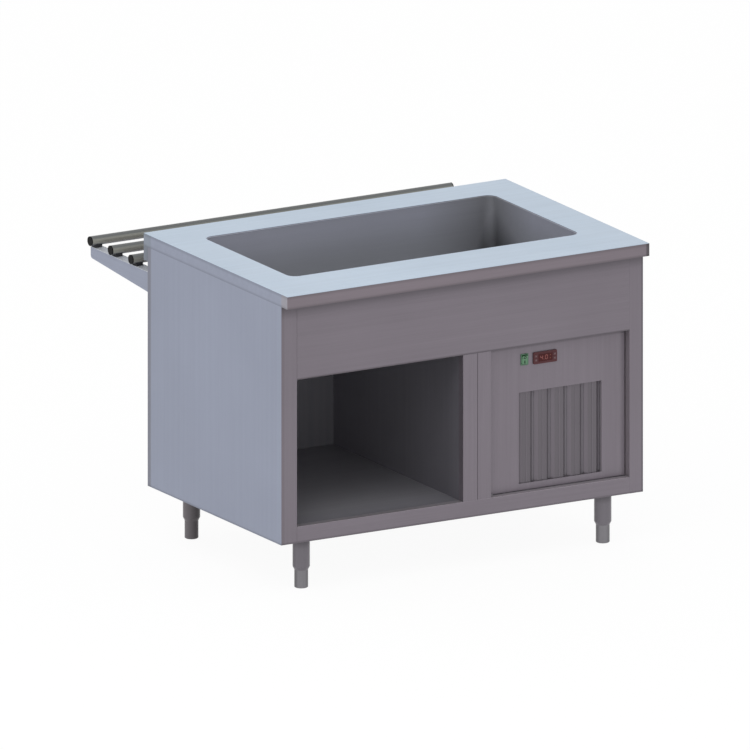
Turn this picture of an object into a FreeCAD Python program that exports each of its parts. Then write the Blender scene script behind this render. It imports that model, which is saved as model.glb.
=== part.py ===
# Refrigerated bain-marie counter: a stainless self-service counter with a cold
# well, an open cupboard, a condensing unit behind a louvred door and a tray
# slide of three tubes on the customers' side.
# Frame: +X right as the operator sees it, -Y the operator's front, +Z up, the
# origin on the floor under the centre of the whole footprint. Millimetres.
import FreeCAD
import Part
import Sketcher
import math
import os
import re

# Driving lengths, by the piece that they belong to
LENGTHS = {
    # whole counter
    "counter_length": 1200,
    "counter_height": 900,
    "body_depth": 768,
    "leg_height": 153,
    "panel_sheet": 1.2,
    "panel_flange": 20,
    "fold_radius": 1,
    "overrun": 5,
    # worktop
    "top_sheet": 1.5,
    "lip_height": 38,
    "back_lip_height": 80,
    "lip_return": 20,
    "front_overhang": 36,
    "back_overhang": 22,
    "lip_edge_radius": 1.2,
    # well tank
    "well_side_margin": 120,
    "well_front_margin": 186,
    "well_back_margin": 130,
    "well_depth": 190,
    "well_corner_radius": 30,
    "well_bottom_radius": 12,
    "well_sheet": 1.0,
    "well_flange": 15,
    # insulation round the tank
    "foam_wall": 35,
    "foam_clearance": 0.3,
    # evaporator coil under the tank
    "coil_radius": 5,
    "coil_end_margin": 57.5,
    "coil_edge_margin": 45,
    "coil_clearance": 0.3,
    # drain of the well
    "drain_from_divider": 146.5,
    "drain_bore_radius": 18,
    "drain_pipe_wall": 2,
    "drain_flange_width": 4,
    "drain_hole_clearance": 2,
    "strainer_radius": 32,
    "strainer_thickness": 1.5,
    "strainer_hole_radius": 3,
    "strainer_ring_radius": 10,
    # drain valve
    "valve_above_floor": 107,
    "valve_half_length": 30,
    "valve_neck_height": 12,
    "valve_barrel_radius": 26,
    "valve_socket_wall": 4,
    "valve_chamfer": 4,
    "valve_boss_radius": 9,
    "valve_boss_reach": 36,
    "valve_stem_radius": 5,
    "valve_tail_radius": 13,
    "valve_tail_wall": 3,
    "valve_tail_above_base": 10,
    "lever_length": 60,
    "lever_width": 14,
    "lever_thickness": 3,
    "lever_hub_radius": 11,
    "lever_hub_thickness": 6,
    "stem_nut_radius": 8,
    "stem_nut_thickness": 4,
    "pin_clearance": 0.05,
    # front of the body
    "left_stile_width": 52.5,
    "centre_stile_width": 47.5,
    "stile_seam": 1,
    "machine_stile_width": 44,
    "machine_opening": 459,
    "right_stile_width": 45,
    "rail_height": 48.5,
    "header_height": 224,
    "stile_return": 25,
    "header_flange": 45,
    "header_top_flange": 25,
    "back_return": 50,
    "lining_gap": 20.6,
    "floor_skirt": 20,
    # base channels and legs
    "channel_width": 40,
    "channel_sheet": 1.5,
    "leg_left_inset": 106,
    "leg_right_inset": 94,
    "leg_row_inset": 69,
    "leg_radius": 25,
    "leg_tube_wall": 1.5,
    "leg_top_plug": 3,
    "leg_insert_height": 30,
    "leg_taper_height": 10,
    "leg_stud_radius": 6,
    "leg_stud_length": 32,
    "stud_hole_clearance": 0.5,
    "foot_height": 53,
    "foot_radius": 20,
    "foot_edge": 2,
    "spindle_radius": 8,
    "spindle_end_gap": 17,
    # vents in the floor under the condensing unit
    "vent_length": 60,
    "vent_width": 8,
    "vent_pitch": 20,
    "vent_row_from_back": 163,
    # service door
    "door_recess": 25,
    "door_thickness": 20,
    "door_gap": 1.5,
    "hinge_inset": 9.5,
    "hinge_block": 19,
    "hinge_pin_radius": 3,
    "hinge_pin_depth": 15,
    "hinge_pin_end_gap": 1,
    "catch_width": 40,
    "catch_from_edge": 12,
    "catch_height": 24,
    "catch_thickness": 15,
    # louvre grille in the door
    "grille_from_opening": 106.5,
    "grille_right_margin": 78.5,
    "grille_above_base": 70,
    "grille_below_header": 144,
    "grille_rim": 12,
    "grille_depth": 10,
    "blade_rise": 6,
    "blade_front_gap": 3,
    "blade_start": 1,
    "blade_slope_run": 10,
    "blade_flat_run": 29,
    "blade_fall_run": 8,
    "crease_run": 2.5,
    "crease_depth": 1.2,
    # rocker switch in the door
    "switch_from_opening": 124.5,
    "switch_below_header": 47,
    "switch_width": 25,
    "switch_height": 34,
    "switch_proud": 2,
    "switch_corner_radius": 2,
    "switch_rim": 3.3,
    "switch_end_rim": 2.8,
    "switch_body_inset": 1.5,
    "switch_body_depth": 24,
    "switch_well_depth": 16,
    "cutout_clearance": 0.2,
    "rocker_side_gap": 0.3,
    "rocker_pivot_depth": 4,
    "rocker_half_height": 12.2,
    "rocker_end_reach": 9,
    "rocker_middle_reach": 7.2,
    "rocker_belly": 8,
    "rocker_pin_radius": 1.5,
    "rocker_pin_reach": 10.4,
    # temperature controller in the door
    "controller_from_opening": 192,
    "controller_below_header": 48,
    "controller_width": 78,
    "controller_height": 35,
    "controller_proud": 4,
    "controller_corner_radius": 3,
    "controller_body_inset": 3,
    "controller_body_depth": 60,
    "display_width": 46,
    "display_height": 22,
    "display_thickness": 1.2,
    "key_width": 8.4,
    "key_height": 7.4,
    "key_proud": 0.8,
    "key_length": 5.4,
    "key_gap": 0.3,
    "key_pocket_depth": 6,
    "key_column": 31,
    "key_row": 6,
    # condensing unit
    "unit_from_side": 255,
    "unit_setback": 115,
    "tray_width": 290,
    "tray_length": 460,
    "tray_skirt": 20,
    "tray_sheet": 1.5,
    "compressor_setback": 440,
    "shell_radius": 80,
    "shell_height": 185,
    "shell_seam_height": 85,
    "shell_seam_width": 4,
    "shell_seam_thickness": 7,
    "shell_foot_radius": 55,
    "shell_shoulder_drop": 7,
    "shell_shoulder_radius": 50,
    "shell_low_height": 25,
    "shell_high_drop": 35,
    "shell_blend_radius": 14,
    "mount_plate_length": 200,
    "mount_plate_width": 130,
    "mount_plate_sheet": 3,
    "rubber_radius": 12,
    "rubber_height": 12,
    "rubber_inset": 15,
    "line_radius": 5,
    "stub_reach": 95,
    "suction_height": 110,
    "discharge_height": 60,
    "cover_width": 60,
    "cover_reach": 34,
    "cover_height": 62,
    "cover_base": 30,
    "cover_gap": 0.3,
    "condenser_setback": 130,
    "condenser_length": 240,
    "condenser_depth": 50,
    "condenser_height": 230,
    "fin_gap": 4,
    "fin_groove_depth": 8,
    "fin_border": 12,
    "bend_radius": 12.5,
    "bend_tube_radius": 4.5,
    "bend_first_height": 40,
    "bend_last_drop": 58,
    "shroud_depth": 30,
    "orifice_margin": 11,
    "orifice_ring": 12,
    "motor_radius": 36,
    "motor_setback": 18,
    "motor_length": 50,
    "motor_neck_radius": 12,
    "motor_neck": 4,
    "motor_shaft_radius": 3,
    "motor_arm_width": 14,
    "motor_arm_sheet": 3,
    "hub_radius": 24,
    "hub_half_width": 10,
    "blade_root_radius": 20,
    "blade_tip_gap": 6,
    "blade_root_chord": 34,
    "blade_tip_chord": 56,
    "blade_sheet": 2,
    "drier_radius": 11,
    "drier_neck": 14,
    "drier_height": 90,
    "drier_base_height": 57,
    "drier_setback": 300,
    "line_bend": 12,
    "line_drop_reach": 30,
    "line_hole_clearance": 6,
    "liquid_level": 197,
    "outlet_height": 17,
    "inlet_drop": 23,
    "line_side_reach": 25,
    # cable gland in the floor
    "gland_from_side": 60,
    "gland_from_back": 128,
    "gland_flange_radius": 12,
    "gland_neck_radius": 8,
    "gland_bore_radius": 4,
    "gland_nut_height": 5,
    "gland_body_height": 16,
    "gland_chamfer": 3,
    # tray slide
    "slide_radius": 14,
    "slide_wall": 1.5,
    "slide_first": 98,
    "slide_pitch": 117,
    "slide_below_top": 97.5,
    "cap_flange": 3,
    "cap_plug_length": 12,
    "cap_plug_gap": 0.1,
    "bracket_tip_margin": 12,
    "bracket_side_inset": 10,
    "bracket_sheet": 3,
    "bracket_root_height": 61,
    "bracket_tip_height": 33,
    "bracket_shelf": 33,
    "bracket_corner_radius": 10,
    "saddle_width": 22,
    "saddle_depth": 23,
    "saddle_rise": 5,
    "saddle_cradle": 4.5,
    "saddle_inset": 3,
    "saddle_gap": 0.2,
    # bolts of the brackets
    "bolt_radius": 4,
    "bolt_hole_clearance": 0.5,
    "bolt_head_radius": 7.5,
    "bolt_head_height": 5.3,
    "bolt_side_inset": 26,
    "bolt_edge_inset": 14,
}

COUNTS = {
    "coil_runs": 8,
    "strainer_holes": 6,
    "vent_count": 9,
    "grille_blades": 5,
    "fin_grooves": 24,
    "return_bends": 4,
    "fan_blade_count": 5,
    "slide_tubes": 3,
}

ANGLES = {
    "rocker_tilt": 7,
    "blade_root_angle": 38,
    "blade_tip_angle": 24,
}

# Heights, sides and seats that follow from the sizes above
DERIVED = {
    "half_length": "counter_length / 2",
    "slide_reach": "slide_first + (slide_tubes - 1) * slide_pitch",
    "bracket_reach": "slide_reach + bracket_tip_margin",
    "front_y": "(front_overhang - body_depth - bracket_reach) / 2",
    "back_inside": "body_depth - 2 * panel_sheet",
    "cupboard_depth": "back_inside - lining_gap",
    "body_top": "counter_height - lip_height",
    "top_underside": "counter_height - top_sheet",
    "well_floor": "counter_height - well_depth",
    "tank_underside": "well_floor - well_sheet",
    "well_length": "counter_length - 2 * well_side_margin",
    "well_front": "well_front_margin - front_overhang",
    "well_width": "body_depth + back_overhang - well_back_margin - well_front",
    "well_middle": "well_front + well_width / 2",
    "floor_top": "leg_height + rail_height",
    "opening_top": "body_top - header_height",
    "opening_height": "opening_top - floor_top",
    "ceiling_base": "opening_top + panel_sheet",
    "ceiling_top": "ceiling_base + panel_sheet",
    "lining_height": "ceiling_base - floor_top",
    "cupboard_left": "left_stile_width - half_length",
    "door_right": "half_length - right_stile_width",
    "door_left": "door_right - machine_opening",
    "machine_stile_x": "door_left - machine_stile_width",
    "divider_x": "machine_stile_x - stile_seam - centre_stile_width",
    "drain_x": "divider_x + drain_from_divider",
    "drain_pipe_radius": "drain_bore_radius + drain_pipe_wall",
    "valve_height": "floor_top + valve_above_floor",
    "coil_z": "tank_underside - coil_clearance - coil_radius",
    "coil_run": "well_length - 2 * coil_end_margin",
    "coil_pitch": "(well_width - 2 * coil_edge_margin) / (coil_runs - 1)",
    "coil_first_y": "well_front + coil_edge_margin",
    "coil_last_y": "well_front + well_width - coil_edge_margin",
    "leg_left_x": "leg_left_inset - half_length",
    "leg_right_x": "half_length - leg_right_inset",
    "leg_back_y": "body_depth - leg_row_inset",
    "spindle_top": "leg_height - leg_top_plug - spindle_end_gap",
    "hinge_x": "door_left + door_gap + hinge_inset",
    "hinge_y": "door_recess + door_thickness / 2",
    "door_low": "floor_top + door_gap",
    "door_high": "opening_top - door_gap",
    "grille_left": "door_left + grille_from_opening",
    "grille_low": "leg_height + grille_above_base",
    "grille_length": "door_right - grille_right_margin - grille_left",
    "grille_height": "opening_top - grille_below_header - grille_low",
    "blade_pitch": "grille_length / grille_blades",
    "switch_x": "door_left + switch_from_opening",
    "switch_z": "opening_top - switch_below_header",
    "controller_x": "door_left + controller_from_opening",
    "controller_z": "opening_top - controller_below_header",
    "unit_x": "half_length - unit_from_side",
    "tray_top": "floor_top + tray_skirt",
    "shell_base": "tray_top + rubber_height + mount_plate_sheet",
    "shroud_y": "condenser_setback + condenser_depth",
    "fan_y": "shroud_y + shroud_depth",
    "fan_z": "tray_top + condenser_height / 2",
    "fin_pitch": "(condenser_length - 2 * fin_border - fin_gap) / (fin_grooves - 1)",
    "bend_pitch": "(condenser_height - bend_first_height - bend_last_drop) / (return_bends - 1)",
    "orifice_radius": "min(condenser_length; condenser_height) / 2 - orifice_margin",
    "blade_tip_radius": "orifice_radius - blade_tip_gap",
    "motor_arm_reach": "condenser_length / 2 - panel_sheet",
    "drier_x": "unit_x + condenser_length / 2 + 2 * line_bend",
    "line_drop_x": "unit_x + stub_reach + line_drop_reach",
    "gland_x": "half_length - gland_from_side",
    "gland_y": "body_depth - gland_from_back",
    "vent_row_x": "unit_x - ((vent_count - 1) * vent_pitch + vent_width) / 2",
    "vent_row_y": "body_depth - vent_row_from_back",
    "slide_height": "counter_height - slide_below_top",
    "bracket_top_height": "slide_height - slide_radius - saddle_rise",
    "saddle_height": "saddle_rise + saddle_cradle",
    "slide_cap_end": "half_length - cap_flange",
}

ALIASES = set(LENGTHS) | set(COUNTS) | set(ANGLES) | set(DERIVED)
SIDES = {"left": -1, "right": 1}

document = FreeCAD.newDocument("cold_well_counter")
nodes = []


def bound(words):
    """Turn a size written in the sheet's words into an expression on the sheet."""
    return re.sub(r"[a-z]\w*", lambda found: f"Dims.{found[0]}" if found[0] in ALIASES else found[0], words)


def make_sheet():
    """Write every driving size and every size that follows from them."""
    sheet = document.addObject("Spreadsheet::Sheet", "Dims")
    rows = {**LENGTHS, **COUNTS, **ANGLES}
    for row, (alias, number) in enumerate(rows.items(), start=1):
        sheet.set(f"A{row}", alias)
        sheet.set(f"B{row}", str(number))
        sheet.setAlias(f"B{row}", alias)
    for row, (alias, words) in enumerate(DERIVED.items(), start=1):
        sheet.set(f"C{row}", alias)
        sheet.set(f"D{row}", "=" + words)
        sheet.setAlias(f"D{row}", alias)
    document.recompute()
    return sheet


dims = make_sheet()


def value(words):
    """Work out a size written in the sheet's words."""
    return float(dims.evalExpression(bound(words).replace("Dims.", ".")))


def place(piece, x="0", y="0", z="0"):
    """Set a piece down; y is counted from the body's front face."""
    piece.setExpression("Placement.Base.x", bound(x))
    piece.setExpression("Placement.Base.y", bound(f"front_y + {y}"))
    piece.setExpression("Placement.Base.z", bound(z))
    return piece


def node(piece, label):
    """Name a finished sub-part and keep it for the files."""
    piece.Label = label
    nodes.append(piece)
    return piece


# Bodies, sketches and features
def new_body(label, x="0", y="0", z="0"):
    """Start a body that becomes one node."""
    return node(place(document.addObject("PartDesign::Body", label), x, y, z), label)


def origin_part(body, role):
    """Find one of the body's own planes or axes."""
    return next(part for part in body.Origin.OriginFeatures if part.Role == role)


def sketch_on(body, purpose, role, level="0"):
    """Open a sketch on a plane of the body, moved along the plane's positive axis."""
    sketch = body.newObject("Sketcher::SketchObject", f"{body.Name}_{purpose}")
    sketch.AttachmentSupport = (origin_part(body, role), [""])
    sketch.MapMode = "FlatFace"
    sign = "-1" if role == "XZ_Plane" else "1"
    sketch.setExpression("AttachmentOffset.Base.z", bound(f"{sign} * ({level})"))
    return sketch


def along_y(sketch):
    """Say whether the sketch lies in an XZ plane, whose normal is -Y."""
    return sketch.AttachmentSupport[0][0].Role == "XZ_Plane"


def fix_size(sketch, kind, shape, point, words):
    """Tie one direction of a point of a line, arc or circle to a size."""
    index = sketch.addConstraint(Sketcher.Constraint(kind, -1, 1, shape, point, value(words)))
    sketch.setExpression(f"Constraints[{index}]", bound(words))


def fix_point(sketch, shape, point, x, y):
    """Tie both directions of a point to two sizes."""
    fix_size(sketch, "DistanceX", shape, point, x)
    fix_size(sketch, "DistanceY", shape, point, y)


def vector(x, y):
    """Give a point of a sketch from two sizes in words."""
    return FreeCAD.Vector(value(x), value(y), 0)


def add_outline(sketch, points):
    """Draw a closed outline of straight sides through named points."""
    first = sketch.GeometryCount
    count = len(points)
    for index in range(count):
        ends = vector(*points[index]), vector(*points[(index + 1) % count])
        sketch.addGeometry(Part.LineSegment(*ends), False)
    for index in range(count):
        after = first + (index + 1) % count
        sketch.addConstraint(Sketcher.Constraint("Coincident", first + index, 2, after, 1))
    for index, (x, y) in enumerate(points):
        fix_point(sketch, first + index, 1, x, y)
    return sketch


def add_rectangle(sketch, x_low, x_high, y_low, y_high):
    """Draw a rectangle between four sizes."""
    corners = [(x_low, y_low), (x_high, y_low), (x_high, y_high), (x_low, y_high)]
    return add_outline(sketch, corners)


def add_rounded(sketch, x_low, x_high, y_low, y_high, radius):
    """Draw a rectangle whose four corners are arcs of one radius."""
    low_x, high_x = f"({x_low} + {radius})", f"({x_high} - {radius})"
    low_y, high_y = f"({y_low} + {radius})", f"({y_high} - {radius})"
    sides = [
        ((low_x, y_low), (high_x, y_low)),
        ((x_high, low_y), (x_high, high_y)),
        ((high_x, y_high), (low_x, y_high)),
        ((x_low, high_y), (x_low, low_y)),
    ]
    centres = [(high_x, low_y), (high_x, high_y), (low_x, high_y), (low_x, low_y)]
    up = FreeCAD.Vector(0, 0, 1)
    lines = [sketch.addGeometry(Part.LineSegment(vector(*a), vector(*b)), False) for a, b in sides]
    for turn, centre in enumerate(centres):
        circle = Part.Circle(vector(*centre), up, value(radius))
        start = (turn - 1) * math.pi / 2
        arc = sketch.addGeometry(Part.ArcOfCircle(circle, start, start + math.pi / 2), False)
        sketch.addConstraint(Sketcher.Constraint("Coincident", lines[turn], 2, arc, 1))
        sketch.addConstraint(Sketcher.Constraint("Coincident", lines[(turn + 1) % len(lines)], 1, arc, 2))
        fix_size(sketch, "DistanceX", arc, 3, centre[0])
    for line, (start, end) in zip(lines, sides):
        fix_point(sketch, line, 1, *start)
        fix_point(sketch, line, 2, *end)
    return sketch


def add_circle(sketch, x, y, radius):
    """Draw a circle about a named point."""
    up = FreeCAD.Vector(0, 0, 1)
    circle = sketch.addGeometry(Part.Circle(vector(x, y), up, value(radius)), False)
    index = sketch.addConstraint(Sketcher.Constraint("Radius", circle, value(radius)))
    sketch.setExpression(f"Constraints[{index}]", bound(radius))
    fix_point(sketch, circle, 3, x, y)
    return sketch


def pad(sketch, length, forward=True):
    """Thicken a sketch along the positive axis, or back along it."""
    body = sketch.getParentGeoFeatureGroup()
    feature = body.newObject("PartDesign::Pad", f"{sketch.Name}_pad")
    feature.Profile = sketch
    feature.setExpression("Length", bound(length))
    feature.Reversed = forward == along_y(sketch)
    return feature


def pocket(sketch, length, forward=True):
    """Cut a sketch along the positive axis, or back along it."""
    body = sketch.getParentGeoFeatureGroup()
    feature = body.newObject("PartDesign::Pocket", f"{sketch.Name}_pocket")
    feature.Profile = sketch
    feature.setExpression("Length", bound(length))
    feature.Reversed = forward != along_y(sketch)
    return feature


def revolve(sketch, angle=360):
    """Turn a sketch about its own upright axis."""
    body = sketch.getParentGeoFeatureGroup()
    feature = body.newObject("PartDesign::Revolution", f"{sketch.Name}_revolution")
    feature.Profile = sketch
    feature.ReferenceAxis = (sketch, ["V_Axis"])
    feature.Angle = angle
    return feature


def repeat_along(feature, role, pitch, count):
    """Repeat a feature in a row along an axis of its body."""
    body = feature.getParentGeoFeatureGroup()
    row = body.newObject("PartDesign::LinearPattern", f"{feature.Name}_row")
    row.Originals = [feature]
    row.Direction = (origin_part(body, role), [""])
    row.setExpression("Length", bound(f"{pitch} * ({count} - 1)"))
    row.Occurrences = int(value(count))
    body.Tip = row
    return row


def repeat_round(feature, role, count):
    """Repeat a feature in a ring about an axis of its body."""
    body = feature.getParentGeoFeatureGroup()
    ring = body.newObject("PartDesign::PolarPattern", f"{feature.Name}_ring")
    ring.Originals = [feature]
    ring.Axis = (origin_part(body, role), [""])
    ring.Angle = 360
    ring.Occurrences = int(value(count))
    body.Tip = ring
    return ring


def round_edges(body, purpose, radius, wanted):
    """Round those edges of the body that the test picks."""
    document.recompute()
    base = body.Tip
    names = [f"Edge{index}" for index, edge in enumerate(base.Shape.Edges, start=1) if wanted(edge)]
    feature = body.newObject("PartDesign::Fillet", f"{body.Name}_{purpose}")
    feature.Base = (base, names)
    feature.setExpression("Radius", bound(radius))
    return feature


def round_folds(body, folds):
    """Round the outer edges of folds, each given by where it lies across its run."""
    places = [{axis: value(words) for axis, words in fold.items()} for fold in folds]

    def on_fold(edge):
        box_of = edge.BoundBox
        return any(
            all(near(getattr(box_of, axis + end), level) for axis, level in spot.items() for end in ("Min", "Max"))
            for spot in places
        )

    return round_edges(body, "folds", "fold_radius", on_fold)


def level_of(edge):
    """Give the height of a level edge, or None for one that climbs."""
    box = edge.BoundBox
    return box.ZMin if box.ZLength < value("panel_sheet") / 100 else None


def near(first, second):
    """Say whether two sizes agree."""
    return first is not None and abs(first - second) < value("panel_sheet") / 100


def box(name, length, width, height, x, y, z):
    """Make a plain block from its low corner."""
    block = place(document.addObject("Part::Box", name), x, y, z)
    block.setExpression("Length", bound(length))
    block.setExpression("Width", bound(width))
    block.setExpression("Height", bound(height))
    return block


def cylinder(name, radius, height, x, y, z, direction="z"):
    """Make a round bar from the centre of its first end."""
    bar = document.addObject("Part::Cylinder", name)
    axes = {"x": FreeCAD.Vector(1, 0, 0), "y": FreeCAD.Vector(0, 1, 0), "z": FreeCAD.Vector(0, 0, 1)}
    bar.Placement.Rotation = FreeCAD.Rotation(axes["z"], axes[direction])
    bar.setExpression("Radius", bound(radius))
    bar.setExpression("Height", bound(height))
    return place(bar, x, y, z)


def fuse(name, pieces):
    """Join pieces that touch into one solid."""
    joined = document.addObject("Part::MultiFuse", name)
    joined.Shapes = pieces
    return joined


def cut(name, base, tool):
    """Take one shape out of another."""
    result = document.addObject("Part::Cut", name)
    result.Base = base
    result.Tool = tool
    return result


def group(label, pieces):
    """Keep like pieces as separate solids of one node."""
    compound = document.addObject("Part::Compound", label)
    compound.Links = pieces
    return node(compound, label)


# Worktop and cold well
def well_outline(sketch, margin):
    """Draw the well's rounded rectangle, larger by a margin all round."""
    return add_rounded(
        sketch,
        f"(-well_length / 2 - ({margin}))",
        f"(well_length / 2 + {margin})",
        f"(well_front - ({margin}))",
        f"(well_front + well_width + {margin})",
        f"(well_corner_radius + {margin})",
    )


def make_worktop():
    """Fold the top with a lip and a return all round, deeper at the back, and cut the well."""
    body = new_body("worktop", z="body_top")
    back = "(body_depth + back_overhang)"
    plan = sketch_on(body, "plan", "XY_Plane")
    add_rectangle(plan, "-half_length", "half_length", "-front_overhang", back)
    pad(plan, "lip_height")
    hollow = sketch_on(body, "hollow", "XY_Plane", "top_sheet")
    inset = ("top_sheet - half_length", "half_length - top_sheet")
    add_rectangle(hollow, *inset, "top_sheet - front_overhang", f"{back} - top_sheet")
    pocket(hollow, "lip_height - 2 * top_sheet")
    below = sketch_on(body, "below", "XY_Plane", "-overrun")
    returns = ("lip_return - half_length", "half_length - lip_return")
    add_rectangle(below, *returns, "lip_return", "body_depth - lip_return")
    pocket(below, "2 * overrun")
    back_lip = sketch_on(body, "back_lip", "XY_Plane", "lip_height - back_lip_height")
    add_rectangle(back_lip, "-half_length", "half_length", "body_depth", back)
    pad(back_lip, "back_lip_height - lip_height")
    trough = sketch_on(body, "trough", "XY_Plane", "lip_height - back_lip_height + top_sheet")
    add_rectangle(trough, *inset, "body_depth - lip_return", f"{back} - top_sheet")
    pocket(trough, "back_lip_height - lip_height")
    well = sketch_on(body, "well", "XY_Plane", "lip_height - top_sheet - overrun")
    well_outline(well, "0")
    pocket(well, "top_sheet + 2 * overrun")
    rim = value("lip_height")
    half = value("half_length")
    front = value("-front_overhang")
    rear = value(back)

    def on_rim(edge):
        box_of = edge.BoundBox
        at_side = near(abs(box_of.XMin), half) and near(box_of.XMin, box_of.XMax)
        at_end = near(box_of.YMin, box_of.YMax) and (near(box_of.YMin, front) or near(box_of.YMin, rear))
        return near(level_of(edge), rim) and (at_side or at_end)

    round_edges(body, "rim_edge", "lip_edge_radius", on_rim)


def make_tank():
    """Draw the tank: flange, walls with rounded corners, floor and drain hole."""
    body = new_body("well_tank", z="top_underside")
    flange = sketch_on(body, "flange", "XY_Plane")
    well_outline(flange, "well_flange")
    pad(flange, "well_sheet", forward=False)
    outside = sketch_on(body, "outside", "XY_Plane")
    well_outline(outside, "well_sheet")
    pad(outside, "top_underside - tank_underside", forward=False)
    inside = sketch_on(body, "inside", "XY_Plane", "overrun")
    well_outline(inside, "0")
    pocket(inside, "overrun + top_underside - well_floor", forward=False)
    bends = {
        "inner_edge": ("well_floor - top_underside", "well_bottom_radius"),
        "outer_edge": ("tank_underside - top_underside", "well_bottom_radius + well_sheet"),
    }
    for purpose, (height, radius) in bends.items():
        level = value(height)
        round_edges(body, purpose, radius, lambda edge: near(level_of(edge), level))
    drain = sketch_on(body, "drain", "XY_Plane", "well_floor - top_underside + overrun")
    add_circle(drain, "drain_x", "well_middle", "drain_bore_radius")
    pocket(drain, "well_sheet + 2 * overrun", forward=False)


def make_insulation():
    """Foam the jacket that carries the tank, with room for the coil below it."""
    body = new_body("tank_insulation", z="ceiling_top")
    wall = "(well_sheet + foam_clearance + foam_wall)"
    plan = sketch_on(body, "plan", "XY_Plane")
    add_rectangle(
        plan,
        f"-well_length / 2 - {wall}",
        f"well_length / 2 + {wall}",
        f"well_front - {wall}",
        f"well_front + well_width + {wall}",
    )
    pad(plan, "top_underside - well_sheet - ceiling_top")
    hollow = sketch_on(body, "hollow", "XY_Plane", "coil_z - coil_radius - coil_clearance - ceiling_top")
    well_outline(hollow, "well_sheet + foam_clearance")
    pocket(hollow, "top_underside - coil_z + coil_radius + overrun")
    holes = sketch_on(body, "holes", "XY_Plane", "-overrun")
    add_circle(holes, "drain_x", "well_middle", "drain_pipe_radius + drain_hole_clearance")
    pocket(holes, "coil_z - ceiling_top")
    pipes = sketch_on(body, "pipes", "XY_Plane", "-overrun")
    add_circle(pipes, "line_drop_x", "coil_last_y", "line_radius + line_hole_clearance")
    add_circle(pipes, "drier_x", "coil_first_y", "line_radius + line_hole_clearance")
    pocket(pipes, "top_underside - ceiling_top")


def make_coil():
    """Bend the evaporator as one tube to and fro under the tank's floor."""
    body = new_body("evaporator_coil", z="coil_z")
    spine = sketch_on(body, "spine", "XY_Plane")
    up = FreeCAD.Vector(0, 0, 1)
    previous = None
    for run in range(int(value("coil_runs"))):
        y = f"coil_first_y + {run} * coil_pitch"
        start, end = ("coil_run / 2", "-coil_run / 2") if run % 2 == 0 else ("-coil_run / 2", "coil_run / 2")
        line = sketch_line(spine, (start, y), (end, y))
        if previous is not None:
            centre = (start, f"coil_first_y + ({run} - 1 / 2) * coil_pitch")
            circle = Part.Circle(vector(*centre), up, value("coil_pitch / 2"))
            side = 0 if run % 2 == 0 else math.pi
            arc = Part.ArcOfCircle(circle, side - math.pi / 2, side + math.pi / 2)
            bend = spine.addGeometry(arc, False)
            before, after = (1, 2) if run % 2 == 0 else (2, 1)
            spine.addConstraint(Sketcher.Constraint("Coincident", previous, 2, bend, before))
            spine.addConstraint(Sketcher.Constraint("Coincident", line, 1, bend, after))
            fix_size(spine, "DistanceX", bend, 3, start)
        previous = line
    section = sketch_on(body, "section", "YZ_Plane", "coil_run / 2")
    add_circle(section, "coil_first_y", "0", "coil_radius")
    tube = body.newObject("PartDesign::AdditivePipe", "evaporator_coil_tube")
    tube.Profile = section
    tube.Spine = (spine, [f"Edge{index}" for index in range(1, spine.GeometryCount + 1)])
    tube.Transition = "Round corner"


def sketch_line(sketch, start, end):
    """Draw one line between two named points."""
    line = sketch.addGeometry(Part.LineSegment(vector(*start), vector(*end)), False)
    fix_point(sketch, line, 1, *start)
    fix_point(sketch, line, 2, *end)
    return line


def make_strainer():
    """Drill the disc that covers the drain."""
    body = new_body("drain_strainer", "drain_x", "well_middle", "well_floor")
    plan = sketch_on(body, "plan", "XY_Plane")
    add_circle(plan, "0", "0", "strainer_radius")
    pad(plan, "strainer_thickness")
    middle = sketch_on(body, "middle", "XY_Plane", "-overrun")
    add_circle(middle, "0", "0", "strainer_hole_radius")
    pocket(middle, "strainer_thickness + 2 * overrun")
    outer = sketch_on(body, "outer", "XY_Plane", "-overrun")
    add_circle(outer, "strainer_ring_radius", "0", "strainer_hole_radius")
    repeat_round(pocket(outer, "strainer_thickness + 2 * overrun"), "Z_Axis", "strainer_holes")


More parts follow.
